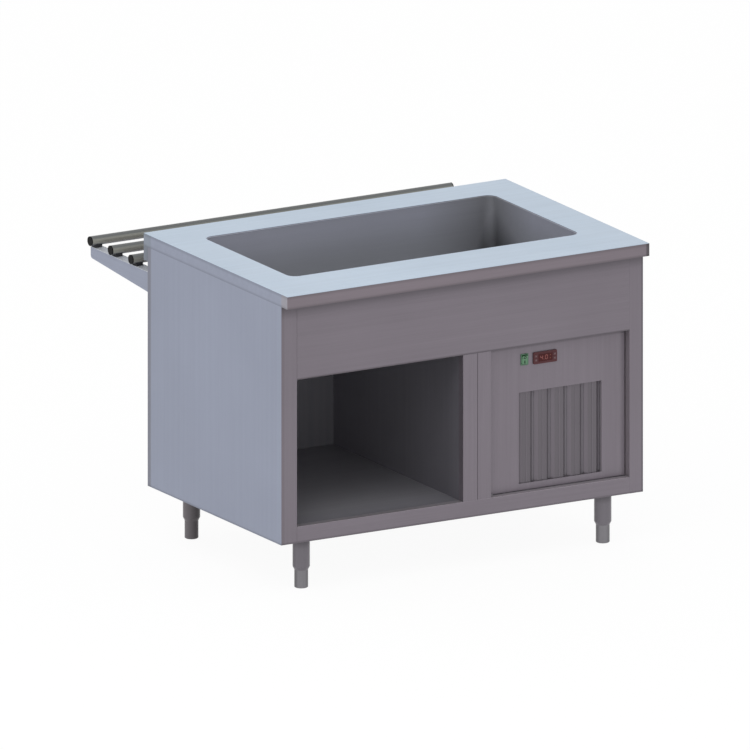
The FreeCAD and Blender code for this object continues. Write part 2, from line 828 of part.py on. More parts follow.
def make_drain():
    """Turn the drain pipe, the valve under it and the valve's lever."""
    pipe = new_body("drain_pipe", "drain_x", "well_middle", "tank_underside")
    profile = sketch_on(pipe, "profile", "XZ_Plane")
    end = "(valve_height + valve_half_length - tank_underside)"
    add_outline(
        profile,
        [
            ("drain_bore_radius", "0"),
            ("drain_pipe_radius + drain_flange_width", "0"),
            ("drain_pipe_radius + drain_flange_width", "-drain_pipe_wall"),
            ("drain_pipe_radius", "-drain_pipe_wall"),
            ("drain_pipe_radius", end),
            ("drain_bore_radius", end),
        ],
    )
    revolve(profile)

    valve = new_body("drain_valve", "drain_x", "well_middle", "valve_height")
    profile = sketch_on(valve, "profile", "XZ_Plane")
    neck = "(drain_bore_radius + valve_socket_wall)"
    flat = "(valve_half_length - valve_neck_height)"
    tail_end = "(leg_height + valve_tail_above_base - valve_height)"
    add_outline(
        profile,
        [
            ("0", "-valve_neck_height"),
            ("valve_tail_radius - valve_tail_wall", "-valve_neck_height"),
            ("valve_tail_radius - valve_tail_wall", tail_end),
            ("valve_tail_radius", tail_end),
            ("valve_tail_radius", "-valve_half_length"),
            (neck, "-valve_half_length"),
            (neck, f"-{flat}"),
            ("valve_barrel_radius", f"valve_chamfer - {flat}"),
            ("valve_barrel_radius", f"{flat} - valve_chamfer"),
            (neck, flat),
            (neck, "valve_half_length"),
            ("drain_bore_radius", "valve_half_length"),
            ("drain_bore_radius", "valve_neck_height"),
            ("0", "valve_neck_height"),
        ],
    )
    revolve(profile)
    boss = sketch_on(valve, "boss", "XZ_Plane")
    add_circle(boss, "0", "0", "valve_boss_radius")
    pad(boss, "valve_boss_reach", forward=False)
    stem = sketch_on(valve, "stem", "XZ_Plane", "-valve_boss_reach")
    add_circle(stem, "0", "0", "valve_stem_radius")
    pad(stem, "lever_hub_thickness + stem_nut_thickness", forward=False)
    nut = sketch_on(valve, "nut", "XZ_Plane", "-valve_boss_reach - lever_hub_thickness")
    add_hexagon(nut, "stem_nut_radius")
    pad(nut, "stem_nut_thickness", forward=False)

    lever = new_body("drain_valve_lever", "drain_x", "well_middle - valve_boss_reach", "valve_height")
    arm = sketch_on(lever, "arm", "XZ_Plane")
    add_rounded(arm, "-lever_length", "lever_width / 2", "-lever_width / 2", "lever_width / 2", "lever_width / 3")
    pad(arm, "lever_thickness", forward=False)
    hub = sketch_on(lever, "hub", "XZ_Plane")
    add_circle(hub, "0", "0", "lever_hub_radius")
    pad(hub, "lever_hub_thickness", forward=False)
    hole = sketch_on(lever, "hole", "XZ_Plane", "overrun")
    add_circle(hole, "0", "0", "valve_stem_radius + pin_clearance")
    pocket(hole, "lever_hub_thickness + 2 * overrun", forward=False)


def add_hexagon(sketch, radius):
    """Draw a nut's six sides about the sketch's origin."""
    corners = [(f"({radius}) * cos({60 * turn} deg)", f"({radius}) * sin({60 * turn} deg)") for turn in range(6)]
    return add_outline(sketch, corners)


# Panels of the body
def make_side_panel(side, front_return):
    """Fold a side with its front stile, back return and top flange."""
    sign = SIDES[side]
    body = new_body(f"{side}_side_panel", z="leg_height")

    def inward(distance):
        return f"{sign} * (half_length - ({distance}))"

    plan = sketch_on(body, "plan", "XY_Plane")
    section = [
        ("0", "0"),
        (front_return, "0"),
        (front_return, "stile_return"),
        (f"{front_return} - panel_sheet", "stile_return"),
        (f"{front_return} - panel_sheet", "panel_sheet"),
        ("panel_sheet", "panel_sheet"),
        ("panel_sheet", "body_depth - panel_sheet"),
        ("back_return", "body_depth - panel_sheet"),
        ("back_return", "body_depth"),
        ("0", "body_depth"),
    ]
    add_outline(plan, [(inward(distance), y) for distance, y in section])
    pad(plan, "body_top - leg_height")
    corners = (("0", "0"), (front_return, "0"), ("0", "body_depth"))
    round_folds(body, [{"X": inward(distance), "Y": y} for distance, y in corners])
    flange = sketch_on(body, "flange", "XY_Plane", "body_top - leg_height")
    add_rectangle(flange, inward("0"), inward("panel_flange"), "panel_sheet", "back_inside")
    pad(flange, "panel_sheet", forward=False)
    holes = sketch_on(body, "bolt_holes", "XZ_Plane", "body_depth - panel_sheet - overrun")
    for height in bolt_heights():
        add_circle(holes, inward("bolt_side_inset"), f"{height} - leg_height", "bolt_radius + bolt_hole_clearance")
    pocket(holes, "panel_sheet + 2 * overrun")


def bolt_heights():
    """Give the two heights at which each bracket is bolted."""
    lower = "(bracket_top_height - bracket_root_height + bolt_edge_inset)"
    upper = "(bracket_top_height - bracket_sheet - bolt_edge_inset)"
    return lower, upper


def make_back_panel():
    """Fold the back panel with a flange along its top and bottom."""
    body = new_body("back_panel", y="body_depth - panel_sheet", z="leg_height")
    width = ("panel_sheet - half_length", "half_length - panel_sheet")
    plan = sketch_on(body, "plan", "XY_Plane")
    add_rectangle(plan, *width, "-panel_sheet", "0")
    pad(plan, "body_top - leg_height")
    flange_width = ("panel_flange - half_length", "half_length - panel_flange")
    for purpose, level in (("low_flange", "0"), ("high_flange", "body_top - leg_height - panel_sheet")):
        flange = sketch_on(body, purpose, "XY_Plane", level)
        add_rectangle(flange, *flange_width, "-panel_sheet - panel_flange", "-panel_sheet")
        pad(flange, "panel_sheet")
    holes = sketch_on(body, "bolt_holes", "XZ_Plane", "-panel_sheet - overrun")
    for sign in SIDES.values():
        for height in bolt_heights():
            x = f"{sign} * (half_length - bolt_side_inset)"
            add_circle(holes, x, f"{height} - leg_height", "bolt_radius + bolt_hole_clearance")
    pocket(holes, "panel_sheet + 2 * overrun")


def channel_section(height, low_flange, high_flange, sheet):
    """Give a channel's section: web in front, two flanges to the back."""
    return [
        ("0", "0"),
        (low_flange, "0"),
        (low_flange, sheet),
        (sheet, sheet),
        (sheet, f"{height} - {sheet}"),
        (high_flange, f"{height} - {sheet}"),
        (high_flange, height),
        ("0", height),
    ]


def make_channel(label, start, end, y, z, section):
    """Pad a channel's section along the counter."""
    body = new_body(label, start, y, z)
    profile = sketch_on(body, "profile", "YZ_Plane")
    add_outline(profile, section)
    pad(profile, f"{end} - ({start})")
    return body


def make_front():
    """Fold the header, the bottom rail and the stile between the openings."""
    header = channel_section("(body_top - opening_top)", "header_flange", "header_top_flange", "panel_sheet")
    header_body = make_channel("front_header", "cupboard_left", "door_right", "0", "opening_top", header)
    round_folds(header_body, [{"Y": "0", "Z": "0"}])
    rail = channel_section("rail_height", "stile_return", "stile_return", "panel_sheet")
    rail_body = make_channel("bottom_rail", "cupboard_left", "door_right", "0", "leg_height", rail)
    round_folds(rail_body, [{"Y": "0", "Z": "0"}, {"Y": "0", "Z": "rail_height"}])
    for label, start in (("centre_stile", "divider_x"), ("machine_stile", "machine_stile_x")):
        width = f"{label}_width"
        stile = new_body(label, start, "0", "floor_top")
        plan = sketch_on(stile, "plan", "XY_Plane")
        add_outline(
            plan,
            [
                ("0", "0"),
                (width, "0"),
                (width, "stile_return"),
                (f"{width} - panel_sheet", "stile_return"),
                (f"{width} - panel_sheet", "panel_sheet"),
                ("panel_sheet", "panel_sheet"),
                ("panel_sheet", "stile_return"),
                ("0", "stile_return"),
            ],
        )
        pad(plan, "opening_height")
        round_folds(stile, [{"X": "0", "Y": "0"}, {"X": width, "Y": "0"}])


def make_floor(label, x_low, x_high):
    """Fold a floor whose front and back edges turn down."""
    body = new_body(label, z="floor_top")
    plan = sketch_on(body, "plan", "XY_Plane")
    add_rectangle(plan, x_low, x_high, "stile_return", "back_inside")
    pad(plan, "panel_sheet", forward=False)
    skirt = sketch_on(body, "skirt", "XY_Plane")
    add_rectangle(skirt, x_low, x_high, "stile_return", "stile_return + panel_sheet")
    add_rectangle(skirt, x_low, x_high, "back_inside - panel_sheet", "back_inside")
    pad(skirt, "floor_skirt", forward=False)
    return body


def make_linings():
    """Fold the floors, the cupboard's back, the divider and the ceiling."""
    make_floor("cupboard_floor", "panel_sheet - half_length", "divider_x + panel_sheet")
    machine = make_floor("machine_floor", "divider_x + panel_sheet", "half_length - panel_sheet")
    vents = sketch_on(machine, "vents", "XY_Plane", "-panel_sheet - overrun")
    add_rounded(
        vents,
        "vent_row_x",
        "(vent_row_x + vent_width)",
        "vent_row_y",
        "(vent_row_y + vent_length)",
        "vent_width / 3",
    )
    repeat_along(pocket(vents, "panel_sheet + 2 * overrun"), "X_Axis", "vent_pitch", "vent_count")
    holes = sketch_on(machine, "holes", "XY_Plane", "-panel_sheet - overrun")
    add_circle(holes, "drain_x", "well_middle", "valve_tail_radius + drain_hole_clearance")
    add_circle(holes, "gland_x", "gland_y", "gland_neck_radius")
    pocket(holes, "panel_sheet + 2 * overrun")

    flange = "(back_inside - cupboard_depth)"
    lining = channel_section("lining_height", flange, flange, "panel_sheet")
    make_channel("cupboard_back", "panel_sheet - half_length", "divider_x", "cupboard_depth", "floor_top", lining)

    divider = new_body("divider_panel", "divider_x", "stile_return", "floor_top")
    plan = sketch_on(divider, "plan", "XY_Plane")
    depth = "(back_inside - stile_return)"
    add_outline(
        plan,
        [
            ("0", "0"),
            ("panel_flange", "0"),
            ("panel_flange", "panel_sheet"),
            ("panel_sheet", "panel_sheet"),
            ("panel_sheet", f"{depth} - panel_sheet"),
            ("panel_flange", f"{depth} - panel_sheet"),
            ("panel_flange", depth),
            ("0", depth),
        ],
    )
    pad(plan, "lining_height")
    notch = sketch_on(divider, "notch", "YZ_Plane", "-overrun")
    add_rectangle(notch, "-overrun", "header_flange - stile_return", "opening_height", "lining_height + overrun")
    pocket(notch, "panel_flange + 2 * overrun")

    ceiling = new_body("ceiling_panel", z="ceiling_base")
    plan = sketch_on(ceiling, "plan", "XY_Plane")
    width = ("panel_sheet - half_length", "half_length - panel_sheet")
    add_rectangle(plan, *width, "stile_return", "back_inside")
    pad(plan, "panel_sheet")
    holes = sketch_on(ceiling, "holes", "XY_Plane", "-overrun")
    add_circle(holes, "drain_x", "well_middle", "drain_pipe_radius + drain_hole_clearance")
    add_circle(holes, "line_drop_x", "coil_last_y", "line_radius + line_hole_clearance")
    add_circle(holes, "drier_x", "coil_first_y", "line_radius + line_hole_clearance")
    pocket(holes, "panel_sheet + 2 * overrun")


# Base channels and legs
def make_base():
    """Set two channels across the base, drilled for the legs' studs."""
    channels = []
    section = channel_section("(rail_height - panel_sheet)", "channel_width", "channel_width", "channel_sheet")
    for name, row in (("front_channel", "leg_row_inset"), ("rear_channel", "leg_back_y")):
        start, end = "panel_sheet - half_length", "half_length - panel_sheet"
        channel = make_channel(name, start, end, f"{row} - channel_width / 2", "leg_height", section)
        nodes.remove(channel)
        holes = sketch_on(channel, "stud_holes", "XY_Plane", "-overrun")
        for x in ("leg_left_x", "leg_right_x"):
            from_end = f"{x} - ({start})"
            add_circle(holes, from_end, "channel_width / 2", "leg_stud_radius + stud_hole_clearance")
        pocket(holes, "channel_sheet + 2 * overrun")
        channels.append(channel)
    group("base_channels", channels)


def make_legs():
    """Turn four legs and the adjustable feet that screw into them."""
    columns = {"left": "leg_left_x", "right": "leg_right_x"}
    rows = {"front": "leg_row_inset", "back": "leg_back_y"}
    bore = "(spindle_radius + pin_clearance)"
    inside = "(leg_radius - leg_tube_wall)"
    insert_top = "(foot_height + leg_insert_height)"
    plug_base = "(leg_height - leg_top_plug)"
    for row, y in rows.items():
        for column, x in columns.items():
            tube = new_body(f"leg_tube_{row}_{column}", x, y)
            profile = sketch_on(tube, "profile", "XZ_Plane")
            add_outline(
                profile,
                [
                    (bore, "foot_height"),
                    ("foot_radius", "foot_height"),
                    ("leg_radius", "foot_height + leg_taper_height"),
                    ("leg_radius", "leg_height"),
                    ("leg_stud_radius", "leg_height"),
                    ("leg_stud_radius", "leg_height + leg_stud_length"),
                    ("0", "leg_height + leg_stud_length"),
                    ("0", plug_base),
                    (inside, plug_base),
                    (inside, insert_top),
                    (bore, insert_top),
                ],
            )
            revolve(profile)
            foot = new_body(f"leg_foot_{row}_{column}", x, y)
            profile = sketch_on(foot, "profile", "XZ_Plane")
            add_outline(
                profile,
                [
                    ("0", "0"),
                    ("foot_radius - foot_edge", "0"),
                    ("foot_radius", "foot_edge"),
                    ("foot_radius", "foot_height"),
                    ("spindle_radius", "foot_height"),
                    ("spindle_radius", "spindle_top"),
                    ("0", "spindle_top"),
                ],
            )
            revolve(profile)


# Service door, its hinge, grille and controls
def make_door():
    """Fold the service door as a tray, with its cut-outs and hinge blocks."""
    body = new_body("service_door")
    left, right = "(door_left + door_gap)", "(door_right - door_gap)"
    edges = (left, right, "door_low", "door_high")
    inner = (f"{left} + panel_sheet", f"{right} - panel_sheet", "door_low + panel_sheet", "door_high - panel_sheet")
    skin = sketch_on(body, "skin", "XZ_Plane", "door_recess")
    add_rectangle(skin, *edges)
    pad(skin, "panel_sheet")
    folds = sketch_on(body, "folds", "XZ_Plane", "door_recess + panel_sheet")
    add_rectangle(folds, *edges)
    add_rectangle(folds, *inner)
    pad(folds, "door_thickness - panel_sheet")
    blocks = sketch_on(body, "blocks", "XZ_Plane", "door_recess + panel_sheet")
    add_rectangle(blocks, left, f"{left} + hinge_block", "door_low", "door_low + hinge_block + hinge_pin_end_gap")
    add_rectangle(blocks, left, f"{left} + hinge_block", "door_high - hinge_block - hinge_pin_end_gap", "door_high")
    pad(blocks, "door_thickness - panel_sheet")
    strike = sketch_on(body, "strike", "XZ_Plane", "door_recess + door_thickness - panel_sheet")
    strike_right = f"({right} - catch_from_edge)"
    add_rectangle(strike, f"{strike_right} - catch_width", strike_right, "door_high - catch_height", "door_high")
    pad(strike, "panel_sheet")
    front = [{"Y": "door_recess", "X": edges[0]}, {"Y": "door_recess", "X": edges[1]}]
    front += [{"Y": "door_recess", "Z": edges[2]}, {"Y": "door_recess", "Z": edges[3]}]
    round_folds(body, front)
    cutouts = sketch_on(body, "cutouts", "XZ_Plane", "door_recess - overrun")
    add_rectangle(
        cutouts,
        "grille_left",
        "grille_left + grille_length",
        "grille_low",
        "grille_low + grille_height",
    )
    for name, body_inset in (("switch", "switch_body_inset"), ("controller", "controller_body_inset")):
        half_width = f"({name}_width / 2 - {body_inset} + cutout_clearance)"
        half_height = f"({name}_height / 2 - {body_inset} + cutout_clearance)"
        add_rectangle(
            cutouts,
            f"{name}_x - {half_width}",
            f"{name}_x + {half_width}",
            f"{name}_z - {half_height}",
            f"{name}_z + {half_height}",
        )
    pocket(cutouts, "panel_sheet + overrun")
    pin = "hinge_pin_radius + pin_clearance"
    low_hole = sketch_on(body, "low_hole", "XY_Plane", "door_low - overrun")
    add_circle(low_hole, "hinge_x", "hinge_y", pin)
    pocket(low_hole, "hinge_pin_depth + overrun")
    high_hole = sketch_on(body, "high_hole", "XY_Plane", "door_high + overrun")
    add_circle(high_hole, "hinge_x", "hinge_y", pin)
    pocket(high_hole, "hinge_pin_depth + overrun", forward=False)


def make_hinges():
    """Make the door's two pins, each on a spacer plate that fills the gap."""
    pins = []
    length = "door_gap + hinge_pin_depth - hinge_pin_end_gap"
    ends = {"low": ("floor_top", "floor_top"), "high": ("door_high", "opening_top - (door_gap + hinge_pin_depth - hinge_pin_end_gap)")}
    for end, (plate_z, pin_z) in ends.items():
        side = "2 * hinge_inset"
        corner = ("hinge_x - hinge_inset", "hinge_y - hinge_inset")
        plate = box(f"{end}_spacer", side, side, "door_gap", *corner, plate_z)
        pin = cylinder(f"{end}_pin", "hinge_pin_radius", length, "hinge_x", "hinge_y", pin_z)
        pins.append(fuse(f"{end}_hinge", [plate, pin]))
    group("door_hinge_pins", pins)


def make_catch():
    """Hang the magnetic catch from the ceiling behind the door's strike plate."""
    x = "door_right - door_gap - catch_from_edge - catch_width"
    catch = box(
        "door_catch",
        "catch_width",
        "catch_thickness",
        "catch_height",
        x,
        "door_recess + door_thickness",
        "ceiling_base - catch_height",
    )
    node(catch, "door_catch")


def make_grille():
    """Fold the louvre grille: a rim, a shallow tray and creased upright blades."""
    body = new_body("louvre_grille", "grille_left", "door_recess + panel_sheet", "grille_low")
    inside = ("0", "grille_length", "0", "grille_height")
    rim = sketch_on(body, "rim", "XZ_Plane")
    add_rectangle(rim, "-grille_rim", "grille_length + grille_rim", "-grille_rim", "grille_height + grille_rim")
    add_rectangle(rim, *inside)
    pad(rim, "panel_sheet")
    walls = sketch_on(body, "walls", "XZ_Plane")
    sheet = "panel_sheet"
    add_rectangle(walls, f"-{sheet}", f"grille_length + {sheet}", f"-{sheet}", f"grille_height + {sheet}")
    add_rectangle(walls, *inside)
    pad(walls, "grille_depth")
    blade = sketch_on(body, "blade", "XY_Plane")
    crest = "(blade_start + blade_slope_run)"
    far = f"({crest} + blade_flat_run)"
    middle = f"({crest} + blade_flat_run / 2)"
    front, back = "blade_front_gap", "(blade_front_gap + blade_rise)"
    skin = "(panel_sheet / 2)"
    profile = [
        ("blade_start", back),
        (crest, front),
        (f"{middle} - crease_run", front),
        (middle, f"{front} + crease_depth"),
        (f"{middle} + crease_run", front),
        (far, front),
        (f"{far} + blade_fall_run", back),
        (f"{far} + blade_fall_run - {skin}", f"{back} + {skin}"),
        (f"{far} - {skin}", f"{front} + panel_sheet"),
        (f"{middle} + crease_run", f"{front} + panel_sheet"),
        (middle, f"{front} + crease_depth + panel_sheet"),
        (f"{middle} - crease_run", f"{front} + panel_sheet"),
        (f"{crest} + {skin}", f"{front} + panel_sheet"),
        (f"blade_start + {skin}", f"{back} + {skin}"),
    ]
    add_outline(blade, profile)
    repeat_along(pad(blade, "grille_height"), "X_Axis", "blade_pitch", "grille_blades")


def make_switch():
    """Mould the switch's housing and the rocker that tilts in it."""
    housing = new_body("switch_housing", "switch_x", "door_recess", "switch_z")
    half_width, half_height = "(switch_width / 2)", "(switch_height / 2)"
    bezel = sketch_on(housing, "bezel", "XZ_Plane")
    size = (f"-{half_width}", half_width, f"-{half_height}", half_height)
    add_rounded(bezel, *size, "switch_corner_radius")
    pad(bezel, "switch_proud", forward=False)
    shell = sketch_on(housing, "shell", "XZ_Plane")
    body_width, body_height = f"({half_width} - switch_body_inset)", f"({half_height} - switch_body_inset)"
    add_rectangle(shell, f"-{body_width}", body_width, f"-{body_height}", body_height)
    pad(shell, "switch_body_depth")
    well = sketch_on(housing, "well", "XZ_Plane", "-switch_proud - overrun")
    well_width, well_height = f"({half_width} - switch_rim)", f"({half_height} - switch_end_rim)"
    add_rectangle(well, f"-{well_width}", well_width, f"-{well_height}", well_height)
    pocket(well, "switch_well_depth + overrun")
    bearing = sketch_on(housing, "bearing", "YZ_Plane", "-switch_width")
    add_circle(bearing, "rocker_pivot_depth", "0", "rocker_pin_radius + pin_clearance")
    pocket(bearing, "2 * switch_width")

    rocker = new_body("switch_rocker", "switch_x", "door_recess + rocker_pivot_depth", "switch_z")
    rocker.Placement.Rotation = FreeCAD.Rotation(FreeCAD.Vector(1, 0, 0), value("rocker_tilt"))
    rocker.setExpression("Placement.Rotation.Angle", bound("rocker_tilt * 1 deg"))
    width = f"({well_width} - rocker_side_gap)"
    profile = sketch_on(rocker, "profile", "YZ_Plane", f"-{width}")
    add_outline(
        profile,
        [
            ("-rocker_end_reach", "rocker_half_height"),
            ("-rocker_middle_reach", "0"),
            ("-rocker_end_reach", "-rocker_half_height"),
            ("0", "-rocker_half_height"),
            ("rocker_belly", "-rocker_half_height / 2"),
            ("rocker_belly", "rocker_half_height / 2"),
            ("0", "rocker_half_height"),
        ],
    )
    pad(profile, f"2 * {width}")
    pivot = sketch_on(rocker, "pivot", "YZ_Plane", "-rocker_pin_reach")
    add_circle(pivot, "0", "0", "rocker_pin_radius")
    pad(pivot, "2 * rocker_pin_reach")


def make_controller():
    """Mould the controller's housing, its display window and four keys."""
    housing = new_body("controller_housing", "controller_x", "door_recess", "controller_z")
    half_width, half_height = "(controller_width / 2)", "(controller_height / 2)"
    bezel = sketch_on(housing, "bezel", "XZ_Plane")
    add_rounded(bezel, f"-{half_width}", half_width, f"-{half_height}", half_height, "controller_corner_radius")
    pad(bezel, "controller_proud", forward=False)
    shell = sketch_on(housing, "shell", "XZ_Plane")
    inset = "controller_body_inset"
    add_rectangle(
        shell,
        f"{inset} - {half_width}",
        f"{half_width} - {inset}",
        f"{inset} - {half_height}",
        f"{half_height} - {inset}",
    )
    pad(shell, "controller_body_depth")
    face = "-controller_proud"
    display = ("-display_width / 2", "display_width / 2", "-display_height / 2", "display_height / 2")
    seat = sketch_on(housing, "display_seat", "XZ_Plane", f"{face} - overrun")
    add_rectangle(seat, *display)
    pocket(seat, "display_thickness + overrun")
    keys = {
        "controller_key_up": (-1, 1),
        "controller_key_down": (-1, -1),
        "controller_key_defrost": (1, 1),
        "controller_key_set": (1, -1),
    }
    pockets = sketch_on(housing, "key_pockets", "XZ_Plane", f"{face} - overrun")
    for column, row in keys.values():
        add_rectangle(
            pockets,
            f"{column} * key_column - key_width / 2 - key_gap",
            f"{column} * key_column + key_width / 2 + key_gap",
            f"{row} * key_row - key_height / 2 - key_gap",
            f"{row} * key_row + key_height / 2 + key_gap",
        )
    pocket(pockets, "key_pocket_depth + overrun")

    window = new_body("controller_window", "controller_x", f"door_recess - controller_proud", "controller_z")
    plate = sketch_on(window, "plate", "XZ_Plane")
    add_rectangle(plate, *display)
    pad(plate, "display_thickness")
    for label, (column, row) in keys.items():
        x, z = f"controller_x + {column} * key_column", f"controller_z + {row} * key_row"
        key = new_body(label, x, "door_recess - controller_proud - key_proud", z)
        face_sketch = sketch_on(key, "face", "XZ_Plane")
        size = ("-key_width / 2", "key_width / 2", "-key_height / 2", "key_height / 2")
        add_rounded(face_sketch, *size, "key_proud")
        pad(face_sketch, "key_length")


# Condensing unit
def make_unit_tray():
    """Fold the unit's base tray with a skirt down each side."""
    body = new_body("unit_tray", "unit_x", "unit_setback", "floor_top")
    profile = sketch_on(body, "profile", "XZ_Plane")
    half = "(tray_width / 2)"
    add_outline(
        profile,
        [
            (f"-{half}", "0"),
            (f"tray_sheet - {half}", "0"),
            (f"tray_sheet - {half}", "tray_skirt - tray_sheet"),
            (f"{half} - tray_sheet", "tray_skirt - tray_sheet"),
            (f"{half} - tray_sheet", "0"),
            (half, "0"),
            (half, "tray_skirt"),
            (f"-{half}", "tray_skirt"),
        ],
    )
    pad(profile, "tray_length")


def make_compressor():
    """Turn the sealed compressor, with its foot plate and stub pipes."""
    body = new_body("compressor", "unit_x", "compressor_setback", "shell_base")
    profile = sketch_on(body, "profile", "XZ_Plane")
    seam_top = "(shell_seam_height + shell_seam_thickness)"
    add_outline(
        profile,
        [
            ("0", "0"),
            ("shell_foot_radius", "0"),
            ("shell_radius", "shell_low_height"),
            ("shell_radius", "shell_seam_height"),
            ("shell_radius + shell_seam_width", "shell_seam_height"),
            ("shell_radius + shell_seam_width", seam_top),
            ("shell_radius", seam_top),
            ("shell_radius", "shell_height - shell_high_drop"),
            ("shell_shoulder_radius", "shell_height - shell_shoulder_drop"),
            ("0", "shell_height"),
        ],
    )
    revolve(profile)
    bends = [value("shell_low_height"), value("shell_height - shell_high_drop")]
    round_edges(
        body,
        "shell_blend",
        "shell_blend_radius",
        lambda edge: any(near(level_of(edge), bend) for bend in bends),
    )
    plate = sketch_on(body, "foot_plate", "XY_Plane")
    add_rounded(
        plate,
        "-mount_plate_length / 2",
        "mount_plate_length / 2",
        "-mount_plate_width / 2",
        "mount_plate_width / 2",
        "rubber_radius",
    )
    pad(plate, "mount_plate_sheet", forward=False)
    stubs = (("suction", "suction_height", True), ("discharge", "discharge_height", False))
    for name, height, forward in stubs:
        start = "shell_shoulder_radius" if forward else "-shell_shoulder_radius"
        stub = sketch_on(body, name, "YZ_Plane", start)
        add_circle(stub, "0", height, "line_radius")
        pad(stub, "stub_reach - shell_shoulder_radius", forward=forward)


def make_compressor_fittings():
    """Add the terminal cover, hollowed to the shell, and the rubber mounts."""
    outside = box(
        "cover_block",
        "cover_width",
        "shell_radius + cover_reach",
        "cover_height",
        "unit_x - cover_width / 2",
        "compressor_setback",
        "shell_base + cover_base",
    )
    shell = cylinder(
        "cover_hollow",
        "shell_radius + shell_seam_width + cover_gap",
        "cover_height + 2 * overrun",
        "unit_x",
        "compressor_setback",
        "shell_base + cover_base - overrun",
    )
    node(cut("compressor_cover", outside, shell), "compressor_cover")
    rubbers = []
    for column in (-1, 1):
        for row in (-1, 1):
            x = f"unit_x + {column} * (mount_plate_length / 2 - rubber_inset)"
            y = f"compressor_setback + {row} * (mount_plate_width / 2 - rubber_inset)"
            name = f"rubber_{len(rubbers)}"
            rubbers.append(cylinder(name, "rubber_radius", "rubber_height", x, y, "tray_top"))
    group("compressor_mounts", rubbers)


def make_condenser():
    """Make the finned condenser block with the return bends at its end."""
    body = new_body("condenser_core", "unit_x", "condenser_setback", "tray_top")
    half = "(condenser_length / 2)"
    block = sketch_on(body, "block", "XZ_Plane")
    add_rectangle(block, f"-{half}", half, "0", "condenser_height")
    pad(block, "condenser_depth")
    first = f"(-(fin_grooves - 1) * fin_pitch / 2 - fin_gap / 2)"
    groove = sketch_on(body, "groove", "XZ_Plane", "-overrun")
    add_rectangle(groove, first, f"{first} + fin_gap", "fin_border", "condenser_height - fin_border")
    repeat_along(pocket(groove, "fin_groove_depth + overrun"), "X_Axis", "fin_pitch", "fin_grooves")
    bend = sketch_on(body, "return_bend", "YZ_Plane", half)
    add_circle(bend, "condenser_depth / 2", "bend_first_height + bend_radius", "bend_tube_radius")
    axis = Part.LineSegment(vector("0", "bend_first_height"), vector("condenser_depth", "bend_first_height"))
    line = bend.addGeometry(axis, True)
    fix_point(bend, line, 1, "0", "bend_first_height")
    fix_point(bend, line, 2, "condenser_depth", "bend_first_height")
    turned = body.newObject("PartDesign::Revolution", "condenser_bend")
    turned.Profile = bend
    turned.ReferenceAxis = (bend, ["Axis0"])
    turned.Angle = 180
    turned.Reversed = True
    repeat_along(turned, "Z_Axis", "bend_pitch", "return_bends")


def make_fan():
    """Make the shroud, the motor on its arm and the fan on the motor's shaft."""
    shroud = new_body("fan_shroud", "unit_x", "shroud_y", "tray_top")
    half = "(condenser_length / 2)"
    block = sketch_on(shroud, "block", "XZ_Plane")
    add_rectangle(block, f"-{half}", half, "0", "condenser_height")
    pad(block, "shroud_depth")
    hollow = sketch_on(shroud, "hollow", "XZ_Plane", "-overrun")
    sheet = "panel_sheet"
    add_rectangle(hollow, f"{sheet} - {half}", f"{half} - {sheet}", sheet, f"condenser_height - {sheet}")
    pocket(hollow, "shroud_depth - panel_sheet + overrun")
    ring = sketch_on(shroud, "ring", "XZ_Plane", "shroud_depth")
    add_circle(ring, "0", "condenser_height / 2", "orifice_radius + panel_sheet")
    pad(ring, "orifice_ring")
    hole = sketch_on(shroud, "hole", "XZ_Plane", "0")
    add_circle(hole, "0", "condenser_height / 2", "orifice_radius")
    pocket(hole, "shroud_depth + orifice_ring + overrun")

    motor = new_body("fan_motor", "unit_x", "fan_y", "fan_z")
    profile = sketch_on(motor, "profile", "XY_Plane")
    back = "(motor_setback + motor_length)"
    add_outline(
        profile,
        [
            ("0", "-hub_half_width"),
            ("motor_shaft_radius", "-hub_half_width"),
            ("motor_shaft_radius", "motor_setback - motor_neck"),
            ("motor_neck_radius", "motor_setback - motor_neck"),
            ("motor_neck_radius", "motor_setback"),
            ("motor_radius", "motor_setback"),
            ("motor_radius", f"{back} - motor_neck"),
            ("motor_radius - motor_neck", back),
            ("0", back),
        ],
    )
    revolve(profile)
    arm = sketch_on(motor, "arm", "XZ_Plane", "motor_setback")
    width = "(motor_arm_width / 2)"
    add_rectangle(arm, "-motor_arm_reach", "motor_arm_reach", f"-{width}", width)
    pad(arm, "motor_arm_sheet")
    feet = sketch_on(motor, "arm_feet", "XZ_Plane")
    inner = "(motor_arm_reach - motor_arm_sheet)"
    add_rectangle(feet, "-motor_arm_reach", f"-{inner}", f"-{width}", width)
    add_rectangle(feet, inner, "motor_arm_reach", f"-{width}", width)
    pad(feet, "motor_setback + motor_arm_sheet")

    fan = new_body("fan_blades", "unit_x", "fan_y", "fan_z")
    hub = sketch_on(fan, "hub", "XZ_Plane", "-hub_half_width")
    add_circle(hub, "0", "0", "hub_radius")
    pad(hub, "2 * hub_half_width")
    root = blade_section(fan, "root", "blade_root_radius", "blade_root_chord", "blade_root_angle")
    tip = blade_section(fan, "tip", "blade_tip_radius", "blade_tip_chord", "blade_tip_angle")
    blade = fan.newObject("PartDesign::AdditiveLoft", "fan_blade")
    blade.Profile = root
    blade.Sections = [tip]
    blade.Ruled = True
    repeat_round(blade, "Y_Axis", "fan_blade_count")
    bore = sketch_on(fan, "bore", "XZ_Plane", "-hub_half_width - overrun")
    add_circle(bore, "0", "0", "motor_shaft_radius + pin_clearance")
    pocket(bore, "2 * hub_half_width + 2 * overrun")


